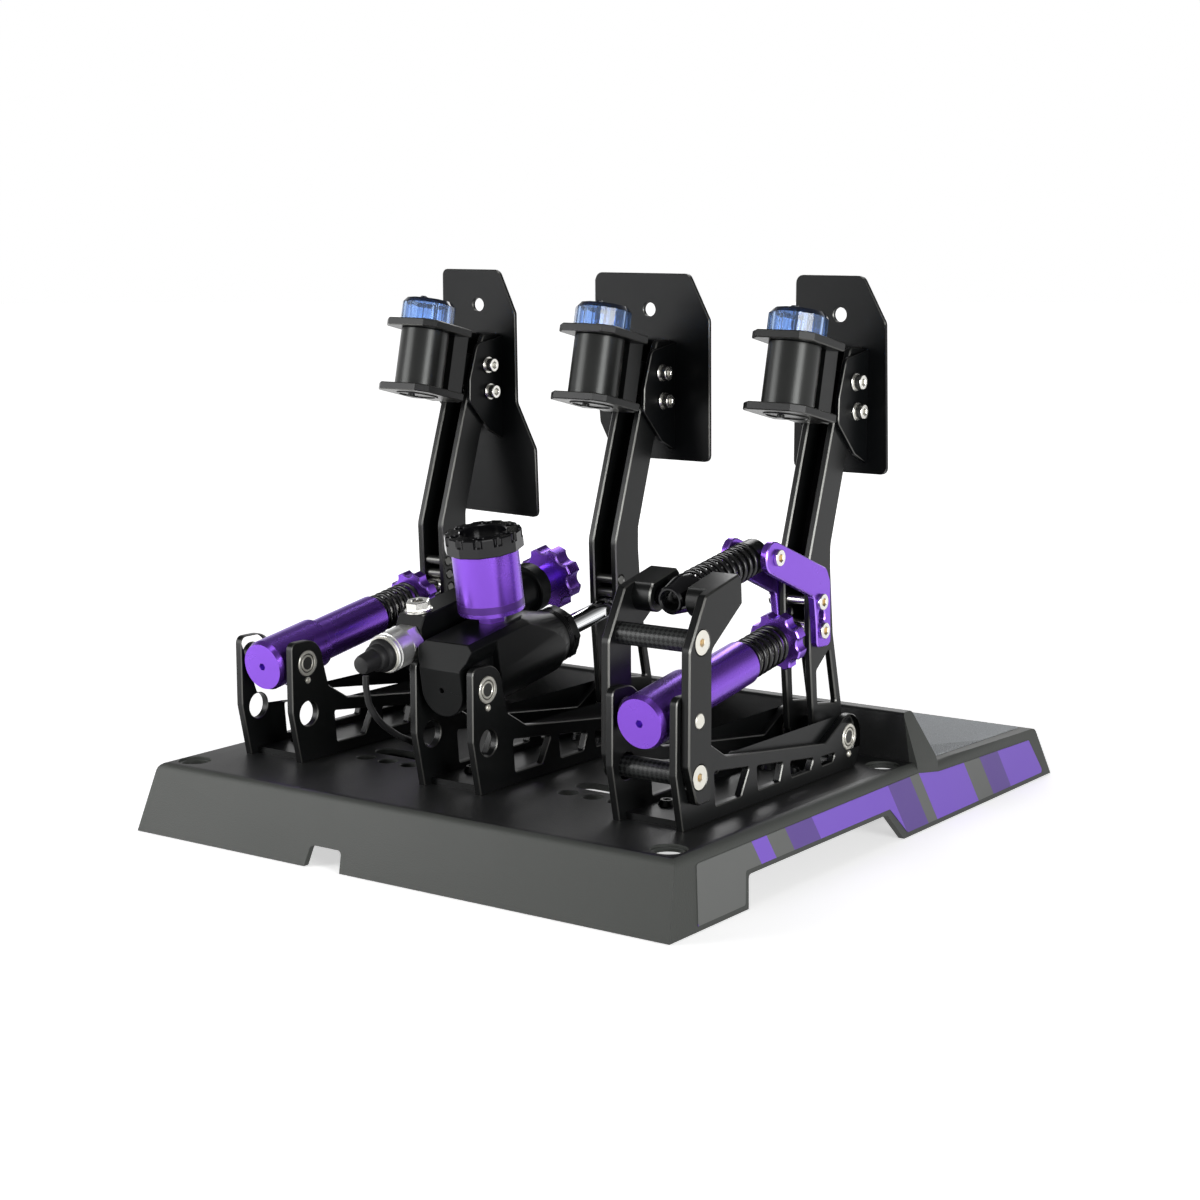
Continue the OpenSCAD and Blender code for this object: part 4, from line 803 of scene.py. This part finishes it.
@dataclass
class Bench:
    """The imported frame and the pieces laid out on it."""

    frame: dict
    pieces: list[str] = field(default_factory=list)

    def node(self, name: str) -> bpy.types.Object:
        """Returns a CAD node's object."""
        return self.frame["nodes"][name]

    def pivot(self, joint: str) -> Vector:
        """Returns a joint's place in millimetres."""
        found = next(j for j in self.frame["joints"] if j["name"] == joint)
        return Vector(found["pos_m"]) / MM

    def body_of(self, node: str) -> str:
        """Returns the name of the body that a CAD node rides on."""
        return self.node(node)["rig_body"]

    def dress(self, name: str, finish: Finish) -> None:
        """Gives a CAD node its finish.

        Args:
            name: The node.
            finish: The finish for all its faces.
        """
        node = self.node(name)
        node.data.materials.clear()
        node.data.materials.append(finish.material())
        self.pieces.append(name)
        LOG.info("dressed %s in %s", name, finish.name)

    def copied(self, name: str, *finishes: Finish) -> tuple[bpy.types.Mesh, bmesh.types.BMesh]:
        """Starts a copy of a CAD node's mesh.

        Args:
            name: The node.
            finishes: The copy's finishes.

        Returns:
            The new mesh and its editable shape, with doubled points merged.
        """
        mesh = self.node(name).data.copy()
        if "custom_normal" in mesh.attributes:
            mesh.attributes.remove(mesh.attributes["custom_normal"])
        mesh.materials.clear()
        for finish in finishes:
            mesh.materials.append(finish.material())
        shape = bmesh.new()
        shape.from_mesh(mesh)
        bmesh.ops.remove_doubles(shape, verts=shape.verts, dist=2e-6)
        for face in shape.faces:
            face.material_index = 0
        return mesh, shape

    def chamfered(self, name: str, finish: Finish, width: float, *axes: Vector, least_area: float = 12.0,
                  edge: Finish | None = None) -> bpy.types.Object:
        """Shows a CAD node as a copy with chamfers round its flat faces.

        Args:
            name: The node, which the copy replaces.
            finish: The copy's finish.
            width: Width of the chamfers in millimetres.
            axes: Directions of the flat faces.
            least_area: Smallest face that is worked, in square millimetres.
            edge: Finish of the chamfers, if it differs; the brighter finishes given here are a painted highlight along
                them.

        Returns:
            The copy.
        """
        mesh, shape = self.copied(name, finish, edge or finish)
        edges = PlateEdges(shape, width, least_area)
        for axis in axes:
            edges.work(axis.normalized())
        mark_sharp(shape, 28.0)
        shape.to_mesh(mesh)
        shape.free()
        return self.lay(mesh_object(f"{name}_worked", mesh), self.body_of(name), finish.slot, name)

    def edged(self, name: str, finish: Finish, width: float, segments: int = 2, angle: float = 32.0) -> None:
        """Shows a CAD node as a copy with rounded edges.

        Args:
            name: The node, which the copy replaces.
            finish: The copy's finish.
            width: Width of the rounded edges in millimetres.
            segments: Number of faces across an edge.
            angle: Turn between faces, in degrees, from which an edge is rounded.
        """
        mesh, shape = self.copied(name, finish)
        bmesh.ops.dissolve_limit(shape, angle_limit=math.radians(0.4), verts=shape.verts, edges=shape.edges)
        mark_sharp(shape, 180.0)
        shape.to_mesh(mesh)
        shape.free()
        piece = mesh_object(f"{name}_worked", mesh)
        bevelled(piece, width, segments, angle)
        self.lay(piece, self.body_of(name), finish.slot, name)

    def repaint(self, piece: bpy.types.Object, finish: Finish, past: Callable[[Vector], bool]) -> None:
        """Gives some faces of a piece another finish.

        Args:
            piece: The piece.
            finish: The other finish.
            past: Tells whether a face changes, from its centre in millimetres.
        """
        piece.data.materials.append(finish.material())
        last = len(piece.data.materials) - 1
        for face in piece.data.polygons:
            if past(face.center / MM):
                face.material_index = last

    def lay(self, piece: bpy.types.Object, body: str, slot: str, *nodes: str) -> bpy.types.Object:
        """Sets a finished piece on its body.

        Args:
            piece: The piece.
            body: The body that it rides on.
            slot: The record's material slot of its finish; not used.
            nodes: The CAD nodes that it stands for.

        Returns:
            The piece.
        """
        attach(piece, body)
        if nodes:
            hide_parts(*nodes)
        self.pieces.append(piece.name)
        LOG.info("laid %s on %s", piece.name, body)
        return piece


@dataclass
class Studio:
    """Camera at the photograph's viewpoint, a pale floor and soft lamps."""

    camera_at: Vector = field(default_factory=lambda: Vector((-0.856154, 1.221333, 0.379579)))
    forward: Vector = field(default_factory=lambda: Vector((0.57221, -0.80378, -0.16283)))
    lens: float = 69.92
    sensor: float = 36.0
    floor_radius: float = 9.0
    floor_glow: float = 0.6
    ambient: float = 0.12

    def build(self) -> None:
        """Builds the camera, the world, the floor and the lamps."""
        self.camera()
        self.world()
        self.floor()
        self.lamps()

    def camera(self) -> None:
        """Sets the camera where the photograph was taken."""
        data = bpy.data.cameras.new("photo_camera")
        data.lens = self.lens
        data.sensor_width = self.sensor
        camera = bpy.data.objects.new("photo_camera", data)
        camera.location = self.camera_at
        camera.rotation_mode = "QUATERNION"
        camera.rotation_quaternion = self.forward.to_track_quat("-Z", "Y")
        bpy.context.scene.collection.objects.link(camera)
        bpy.context.scene.camera = camera

    def world(self) -> None:
        """Makes a white surround for the camera and a soft studio for light and gloss."""
        world = bpy.data.worlds.new("white_studio")
        bpy.context.scene.world = world
        world.use_nodes = True
        wiring = Wiring(world.node_tree)
        seen = wiring.add("ShaderNodeLightPath").outputs
        along = wiring.add("ShaderNodeTexCoord").outputs["Generated"]
        height = wiring.add("ShaderNodeSeparateXYZ", {"Vector": along}).outputs["Z"]
        band = wiring.add(
            "ShaderNodeMapRange",
            {"Value": wiring.math("ABSOLUTE", height), "From Min": 0.12, "From Max": 0.6, "To Min": 1.0, "To Max": 0.12},
            interpolation_type="SMOOTHSTEP",
        ).outputs["Result"]
        mirror = wiring.math("MAXIMUM", seen["Is Glossy Ray"], seen["Is Transmission Ray"])
        gloss = wiring.math("MULTIPLY", mirror, band)
        shown = wiring.math("MAXIMUM", seen["Is Camera Ray"], gloss)
        lit = wiring.math("SUBTRACT", 1.0, wiring.math("MAXIMUM", seen["Is Camera Ray"], mirror))
        strength = wiring.math("ADD", shown, wiring.math("MULTIPLY", lit, self.ambient))
        sky = wiring.add("ShaderNodeBackground", {"Color": (1, 1, 1, 1), "Strength": strength})
        wiring.add("ShaderNodeOutputWorld", {"Surface": sky.outputs["Background"]})

    def floor(self) -> None:
        """Lays a white floor that keeps the object's shadow."""
        material = bpy.data.materials.new("white_floor")
        material.use_nodes = True
        wiring = Wiring(material.node_tree)
        seen = wiring.add("ShaderNodeLightPath").outputs
        shown = wiring.math("MAXIMUM", seen["Is Camera Ray"],
                            wiring.math("MAXIMUM", seen["Is Glossy Ray"], seen["Is Transmission Ray"]))
        place = wiring.add("ShaderNodeTexCoord").outputs["Object"]
        away = wiring.add("ShaderNodeVectorMath", {0: place}, operation="LENGTH").outputs["Value"]
        glow = wiring.add(
            "ShaderNodeMapRange",
            {"Value": away, "From Min": 0.35, "From Max": 1.6, "To Min": self.floor_glow, "To Max": 1.05},
            interpolation_type="SMOOTHSTEP",
        ).outputs["Result"]
        shader = wiring.add(
            "ShaderNodeBsdfPrincipled",
            {"Base Color": (0.86, 0.86, 0.86, 1), "Roughness": 0.9, "Specular IOR Level": 0.1,
             "Emission Color": (1, 1, 1, 1), "Emission Strength": wiring.math("MULTIPLY", shown, glow)},
        )
        wiring.add("ShaderNodeOutputMaterial", {"Surface": shader.outputs["BSDF"]})
        form = Form()
        disc = bmesh.ops.create_circle(form.shape, cap_ends=True, segments=SIDES, radius=self.floor_radius / MM)
        floor = form.made("studio_floor", merge=False)
        floor.data.materials.append(material)
        floor.location.z = -0.0005
        LOG.info("floor of %d corners", len(disc["verts"]))

    def lamps(self) -> None:
        """Hangs the soft lamps: a key at the camera's left, a fill at its right and a rim behind."""
        self.softbox("key_light", (0.7, 0.9, 0.4), (0.0, 0.1, 0.1), 0.6, 7)
        self.softbox("fill_light", (-1.6, 0.75, 0.45), (0.0, 0.0, 0.1), 0.7, 17)
        self.softbox("rim_light", (0.5, -1.4, 1.1), (0.0, 0.0, 0.15), 0.8, 9)
        self.softbox("top_light", (-0.2, 0.5, 1.6), (0.0, 0.0, 0.1), 0.5, 2)

    def softbox(self, name: str, at: Sequence[float], towards: Sequence[float], size: float, power: float) -> None:
        """Hangs one square lamp.

        Args:
            name: Its name.
            at: Its place in metres.
            towards: The point that it faces.
            size: Its side in metres.
            power: Its power in watts.
        """
        data = bpy.data.lights.new(name, "AREA")
        data.size = size
        data.energy = power
        lamp = bpy.data.objects.new(name, data)
        lamp.location = at
        lamp.rotation_mode = "QUATERNION"
        lamp.rotation_quaternion = (Vector(towards) - Vector(at)).to_track_quat("-Z", "Y")
        bpy.context.scene.collection.objects.link(lamp)


@dataclass
class SensorLead:
    """Lead of the pressure sensor, from its boot down through the deck."""

    bench: Bench
    diameter: float = 4.0
    route: tuple[tuple[float, float, float], ...] = (
        (34, 208, 113), (34, 208, 108), (34, 207, 102), (34, 205, 95), (33, 201, 88), (33, 195, 82), (33, 188, 77),
        (33, 180, 72), (32, 172, 68), (32, 164, 64), (32, 156, 61), (32, 149, 58), (32, 143, 54), (32, 139, 49),
        (32, 138, 44), (32, 138, 38), (32, 138, 32),
    )
    steps: int = 6

    def path(self) -> list[Vector]:
        """Returns the route as a smooth line, in metres."""
        ends = [Vector(p) * MM for p in self.route]
        padded = [ends[0] * 2 - ends[1], *ends, ends[-1] * 2 - ends[-2]]
        line = []
        for a, b, c, d in zip(padded, padded[1:], padded[2:], padded[3:]):
            for k in range(self.steps):
                t = k / self.steps
                line.append((b * 2 + (c - a) * t + (a * 2 - b * 5 + c * 4 - d) * t ** 2
                             + (b * 3 - a - c * 3 + d) * t ** 3) / 2)
        return [*line, ends[-1]]

    def build(self) -> None:
        line = self.path()
        data = bpy.data.curves.new("sensor_lead", "CURVE")
        data.dimensions = "3D"
        data.bevel_depth = self.diameter / 2 * MM
        data.bevel_resolution = 4
        data.use_fill_caps = True
        spline = data.splines.new("POLY")
        spline.points.add(len(line) - 1)
        for point, place in zip(spline.points, line):
            point.co = (*place, 1)
        data.materials.append(RUBBER.material())
        lead = bpy.data.objects.new("sensor_lead", data)
        bpy.context.scene.collection.objects.link(lead)
        self.bench.lay(lead, "brake_cylinder_unit", "rubber", "sensor_cable")


@dataclass
class BaseMoulding:
    """The moulded base with its grip, films and controller."""

    bench: Bench
    deck: float = 42.0
    ridge_half: float = 170.0

    def build(self) -> None:
        """Dresses the base."""
        shell = self.bench.chamfered("base_shell", MOULDING, 0.5, UP, least_area=60.0)
        # Painted shade: the deck and the ridge top take the darker copy of the moulding.
        self.bench.repaint(shell, SHADED_DECK, lambda at: abs(at.z - self.deck) < 0.2
                           or (at.z > self.deck + 1 and abs(at.x) < self.ridge_half))
        self.bench.edged("controller_case", CASE, 0.4)
        # The heel grip's two bands are painted light and shade.
        for name, finish in {"heel_grip": LIT_AND_SHADED_GRIP, "side_films": FILM, "controller_board": BOARD, "usb_socket": STEEL,
                             "cable_grommet": RUBBER}.items():
            self.bench.dress(name, finish)


@dataclass
class Brackets:
    """The three pedal brackets with their bearings, pins and screws."""

    bench: Bench
    half: float = 24.0
    plate: float = 5.0
    bearing_r: float = 8.0
    bore_r: float = 4.0

    def build(self) -> None:
        """Builds the brackets and what sits in them."""
        for pedal in PEDALS:
            self.bench.chamfered(f"{pedal}_bracket", BLACK, 0.6, RIGHT, UP, edge=PAINTED_SHEEN)
        self.bench.dress("front_pins", PIN)
        self.bench.chamfered("bracket_screws", BLACK, 0.3, RIGHT, UP, least_area=4.0)
        self.bearings()
        self.grubs()

    def bearings(self) -> None:
        """Builds the shielded bearings: two races and a shield in each."""
        places = []
        for pedal in PEDALS:
            for joint in ("press", "cylinder_swing"):
                hinge = self.bench.pivot(f"{pedal}_{joint}")
                places += [across(hinge.x + side * self.half, hinge.y, hinge.z, side) for side in (1, -1)]
        back = -self.plate
        outer = Form().lathe([(6.1, back), (self.bearing_r, back), (self.bearing_r, 0), (7.7, 0.25), (6.3, 0.25), (6.1, 0)])
        inner = Form().lathe([(self.bore_r + 0.05, back), (5.2, back), (5.2, 0), (5.0, 0.2), (4.3, 0.2),
                              (self.bore_r + 0.05, 0)])
        shield = Form().lathe([(5.2, back + 0.3), (6.1, back + 0.3), (6.1, -0.3), (5.2, -0.3)])
        self.bench.lay(placed("outer_races", outer, CREAM, places), "root", "steel", "pivot_bearings")
        self.bench.lay(placed("inner_races", inner, CREAM, places), "root", "steel")
        self.bench.lay(placed("bearing_shields", shield, SHIELD, places), "root", "steel")


    def grubs(self) -> None:
        """Sets a grub screw under each bearing."""
        places = []
        for pedal in PEDALS:
            for joint in ("press", "cylinder_swing"):
                hinge = self.bench.pivot(f"{pedal}_{joint}")
                places += [across(hinge.x + side * self.half, hinge.y, hinge.z - 10.7, side) for side in (1, -1)]
        grub = Form().lathe([(0, -2), (2.0, -2), (2.0, 0.4), (1.6, 0.8), (1.0, 0.8), (0.8, 0.3), (0, 0.3)], sides=24)
        self.bench.lay(placed("grub_screws", grub, CREAM, places), "root", "steel")


@dataclass
class PedalArm:
    """One pedal arm with its face, axle and bolts."""

    bench: Bench
    pedal: str
    pins_below: float = 200.0

    def build(self) -> None:
        """Dresses the arm."""
        self.bench.chamfered(f"{self.pedal}_arm", BLACK, 0.8, RIGHT, edge=PAINTED_SHEEN)
        self.bench.chamfered(f"{self.pedal}_face", SHEET, 0.5, RIGHT, AWAY, edge=PAINTED_SHEEN)
        self.bench.dress(f"{self.pedal}_axle", PIN)
        bolts = self.bench.chamfered(f"{self.pedal}_fasteners", STEEL, 0.35, RIGHT, least_area=4.0)
        if self.pedal != "clutch":
            self.bench.repaint(bolts, PIN, lambda at: at.z < self.pins_below)


@dataclass
class HapticUnit:
    """The vibration motor of one pedal, in its holder and under its clear dome."""

    bench: Bench
    pedal: str
    tilt: float = 12.7
    centre: tuple[float, float] = (22.7, 285.4)
    lid: float = 35.8

    def build(self) -> None:
        """Dresses the unit."""
        lean = math.radians(self.tilt)
        along = Vector((0, -math.sin(lean), math.cos(lean)))
        holder = self.bench.chamfered(f"{self.pedal}_motor_holder", BLACK, 0.6, along, RIGHT, edge=PAINTED_SHEEN)
        self.bench.chamfered(f"{self.pedal}_motor", MOTOR, 0.5, along)
        dome = self.bench.chamfered(f"{self.pedal}_dome", GLASS, 0.6, along)
        middle = Vector((0, *self.centre))
        # Painted reflection: the holder's lowest faces take the bright sheen finish, standing in for the pale floor
        # reflected in its underside.
        low = min((v.co / MM - middle).dot(along) for v in holder.data.vertices)
        self.bench.repaint(holder, PAINTED_SHEEN, lambda at: (at - middle).dot(along) < low + 0.7)
        self.bench.repaint(dome, SMOKE, lambda at: (at - middle).dot(along) > self.lid)


@dataclass
class Spring:
    """A helical spring between two points of a press."""

    bench: Bench
    name: str
    node: str
    body: str
    hinge: str
    angle: float
    place: Matrix
    low: float
    high: float
    radius: float
    wire: float
    turns: float
    shorter: float

    def build(self) -> None:
        """Builds the coil."""
        base = bpy.data.meshes.new(self.name)
        height = self.high - self.low - self.wire
        coil = coil_recipe().serve(self.name, base, SPRING, Radius=self.radius * MM, Wire=self.wire / 2 * MM,
                                   Turns=self.turns, Height=height * MM)
        lift = Matrix.Translation((0, 0, self.low + self.wire / 2))
        coil.data.transform(Matrix.Scale(MM, 4) @ self.place @ lift @ Matrix.Scale(1 / MM, 4))
        for face in coil.data.polygons:
            face.use_smooth = True
        self.bench.lay(coil, self.body, "spring_black", self.node)
        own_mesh(coil)


def pressed(bench: Bench, pedal: str, start: str, end: str, angle: float) -> float:
    """Returns how much closer two joints come when a pedal is pressed, in millimetres.

    Args:
        bench: The frame.
        pedal: The pedal.
        start: Joint that stays on the base.
        end: Joint that moves with the pedal.
        angle: How far the pedal turns, in degrees.
    """
    hinge, fixed, moved = bench.pivot(f"{pedal}_press"), bench.pivot(start), bench.pivot(end)
    after = hinge + Matrix.Rotation(math.radians(-angle), 3, "X") @ (moved - hinge)
    return (moved - fixed).length - (after - fixed).length


@dataclass
class SpringCylinder:
    """The purple cylinder, spring, rod and wheel of the throttle or the clutch."""

    bench: Bench
    pedal: str
    tube_end: float = 90.5
    wheel_back: float = 30.0
    press: float = 13.0

    def build(self) -> None:
        """Builds the unit."""
        start, end = f"{self.pedal}_cylinder_swing", f"{self.pedal}_rod_turn"
        low, high = self.bench.pivot(start), self.bench.pivot(end)
        place = leaning(low, high)
        along = place.to_3x3() @ UP
        self.bench.dress(f"{self.pedal}_cylinder", PURPLE)
        self.bench.dress(f"{self.pedal}_rod", STEEL)
        self.bench.chamfered(f"{self.pedal}_wheel", PURPLE, 0.8, along, edge=PAINTED_PURPLE_SHEEN)
        Spring(self.bench, f"{self.pedal}_coil", f"{self.pedal}_spring", f"{self.pedal}_cylinder_unit",
               f"{self.pedal}_press", self.press, place, self.tube_end + 0.2,
               (high - low).length - self.wheel_back - 0.2, 11.0, 3.0, 6.0,
               pressed(self.bench, self.pedal, start, end, self.press)).build()


@dataclass
class BrakeUnit:
    """The hydraulic brake: body, side body, reservoir, sensor, rod and wheel."""

    bench: Bench
    side: tuple[float, float] = (35.0, 20.0)
    sensor: tuple[float, float] = (34.6, 22.4)
    top: float = 28.0
    reservoir: tuple[float, float] = (41.0, 20.25)
    neck: float = 7.0

    def build(self) -> None:
        """Builds the unit."""
        place = leaning(self.bench.pivot("brake_cylinder_swing"), self.bench.pivot("brake_rod_turn"))
        turn = place.to_3x3()
        along, above = turn @ UP, turn @ AWAY
        self.bench.edged("brake_body", MATTE, 0.6)
        self.bench.chamfered("brake_side_body", MATTE, 0.7, RIGHT, along, above)
        self.bench.chamfered("brake_wheel", PURPLE, 0.9, along, edge=PAINTED_PURPLE_SHEEN)
        self.bench.chamfered("reservoir_cap", GLOSS, 0.6, above)
        self.bench.chamfered("brake_fitting", STEEL, 0.5, above)
        self.bench.dress("brake_reservoir", PURPLE)
        self.bench.dress("brake_rod", CHROME)
        self.collar(place)
        self.band(place)
        self.plug(place)

    def collar(self, place: Matrix) -> None:
        """Adds the fine ribs round the thin end of the body."""
        rib = Form().lathe([(16.6, 0), (17.35, 0), (17.55, 0.25), (17.55, 0.65), (17.35, 0.9), (16.6, 0.9)])
        places = [place @ Matrix.Translation((0, 0, 92.6 + 1.5 * k)) for k in range(3)]
        self.bench.lay(placed("collar_ribs", rib, BLACK, places), "brake_cylinder_unit", "black_anodised")

    def band(self, place: Matrix) -> None:
        """Adds the dark band round the foot of the reservoir."""
        along, r = self.reservoir
        stand = place @ Matrix.Translation((0, self.top + self.neck, along)) @ Matrix.Rotation(-math.pi / 2, 4, "X")
        band = Form().lathe([(r - 0.3, 2.2), (r + 0.12, 2.2), (r + 0.12, 6.6), (r - 0.3, 6.6)], stand)
        self.bench.lay(band.made("reservoir_band", DUSK), "brake_cylinder_unit", "purple_anodised")

    def plug(self, place: Matrix) -> None:
        """Builds the pressure sensor with its rubber boot."""
        x, y = self.sensor
        at = place @ Matrix.Translation((x, y, 3)) @ Matrix.Rotation(math.pi, 4, "X")
        nut = [(12.0 * math.cos(math.pi * k / 3), 12.0 * math.sin(math.pi * k / 3)) for k in range(6)]
        body = Form().prism(nut, -0.2, 8.2, at).lathe([(0, 8.0), (10.6, 8.0), (10.6, 9.2), (11.5, 9.4), (12.0, 9.9), (12.0, 20.6),
                                                       (11.3, 21.0), (11.3, 21.8), (12.0, 22.2), (12.0, 23.2), (11.4, 23.8), (0, 23.8)], at)
        rim = Form().lathe([(9.6, 23.4), (11.2, 23.4), (11.2, 24.6), (10.8, 25.0), (9.6, 25.0)], at)
        boot = Form().lathe([(0, 23.4), (10.2, 23.4), (10.3, 26.6), (9.4, 28.2), (8.3, 29), (8.1, 32.4), (7.4, 33.4),
                             (6.6, 34), (5.9, 43.2), (5.2, 45.4), (3.6, 46.2), (0, 46.2)], at)
        self.bench.lay(body.made("sensor_body", SATIN), "brake_cylinder_unit", "steel", "pressure_sensor")
        self.bench.lay(rim.made("sensor_rim", CREAM), "brake_cylinder_unit", "steel")
        self.bench.lay(boot.made("sensor_boot", RUBBER), "brake_cylinder_unit", "rubber")


@dataclass
class ClutchAssist:
    """The tower, links and assist spring of the clutch."""

    bench: Bench
    press: float = 13.0
    spacer_r: float = 6.5
    tower_x: float = 24.0
    screws: tuple[tuple[float, float], ...] = ((164.0, 148.2), (165.5, 72.5))

    def build(self) -> None:
        """Builds the assist."""
        start, end = "assist_guide_swing", "assist_rod_turn"
        low, high = self.bench.pivot(start), self.bench.pivot(end)
        place = leaning(low, high)
        along = place.to_3x3() @ UP
        self.bench.chamfered("tower_left", BLACK, 0.9, RIGHT, edge=PAINTED_SHEEN)
        self.bench.chamfered("tower_right", BLACK, 0.9, RIGHT, edge=PAINTED_SHEEN)
        self.bench.chamfered("assist_links", PURPLE, 0.7, RIGHT, edge=PAINTED_PURPLE_SHEEN)
        self.bench.chamfered("tower_screws", CREAM, 0.2, RIGHT, least_area=4.0)
        self.bench.chamfered("assist_guide", GLOSS, 0.6, along)
        self.bench.chamfered("assist_rod", BLACK, 0.6, RIGHT)
        Spring(self.bench, "assist_coil", "assist_spring", "assist_guide_unit", "clutch_press", self.press, place, 13.2,
               (high - low).length - 10.2, 9.7, 2.6, 10.0, pressed(self.bench, "clutch", start, end, self.press)).build()
        self.spacers(low.x)
        self.recesses(low.x)

    def spacers(self, x: float) -> None:
        """Builds the woven spacer tubes, with their pattern laid out round them."""
        form = Form()
        for y, z in self.screws:
            at = across(x, y, z)
            form.lathe([(3.6, -self.tower_x), (self.spacer_r, -self.tower_x), (self.spacer_r, self.tower_x),
                        (3.6, self.tower_x)], at)
        tubes = form.made("spacer_tubes", CARBON)
        layer = tubes.data.uv_layers.new(name="around")
        for loop in tubes.data.loops:
            co = tubes.data.vertices[loop.vertex_index].co / MM
            y, z = min(self.screws, key=lambda p: math.hypot(co.y - p[0], co.z - p[1]))
            angle = math.atan2(co.z - z, co.y - y) % (2 * math.pi)
            layer.data[loop.index].uv = (co.x, angle * self.spacer_r)
        self.bench.lay(tubes, "root", "carbon", "tower_spacers")

    def recesses(self, x: float) -> None:
        """Lays the gilt bottoms of the hex recesses in the low heads."""
        disc = [(2.45 * math.cos(math.pi * k / 3), 2.45 * math.sin(math.pi * k / 3)) for k in range(6)]
        link = self.bench.pivot("assist_rod_turn")
        rod = self.bench.pivot("clutch_rod_turn")
        upper = rod + Vector((0, 2.6, 18))
        lower = rod
        links = [across(x + side * 16.95, p.y, p.z, side) for p in (link, lower, upper) for side in (1, -1)]
        tower = [across(x + side * 27.75, y, z, side) for y, z in self.screws for side in (1, -1)]
        self.bench.lay(placed("link_recesses", Form().prism(disc, 0, 0.25), GILT, links), "clutch_pedal", "steel")
        self.bench.lay(placed("tower_recesses", Form().prism(disc, 0, 0.25), GILT, tower), "root", "steel")
        pin = self.bench.pivot("clutch_cylinder_swing")
        cap = Form().lathe([(0, -0.4), (4.3, -0.4), (4.3, 0), (4.0, 0.25), (0, 0.25)])
        ends = [across(x + side * 30, pin.y, pin.z, side) for side in (1, -1)]
        self.bench.lay(placed("pin_ends", cap, CREAM, ends), "root", "steel")


PEDALS = ("throttle", "brake", "clutch")


def main() -> None:
    """Builds the studio and dresses the pedal set."""
    logging.basicConfig(level=logging.INFO, format="%(name)s: %(message)s")
    bpy.context.scene.view_settings.view_transform = "Standard"
    bench = Bench(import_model())
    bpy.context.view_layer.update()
    Studio().build()
    SensorLead(bench).build()
    BaseMoulding(bench).build()
    Brackets(bench).build()
    for pedal in PEDALS:
        PedalArm(bench, pedal).build()
        HapticUnit(bench, pedal).build()
    SpringCylinder(bench, "throttle").build()
    SpringCylinder(bench, "clutch").build()
    BrakeUnit(bench).build()
    ClutchAssist(bench).build()
    LOG.info("%d pieces", len(bench.pieces))


if __name__ == "__main__":
    for unwanted in list(bpy.data.objects):
        bpy.data.objects.remove(unwanted)
    main()
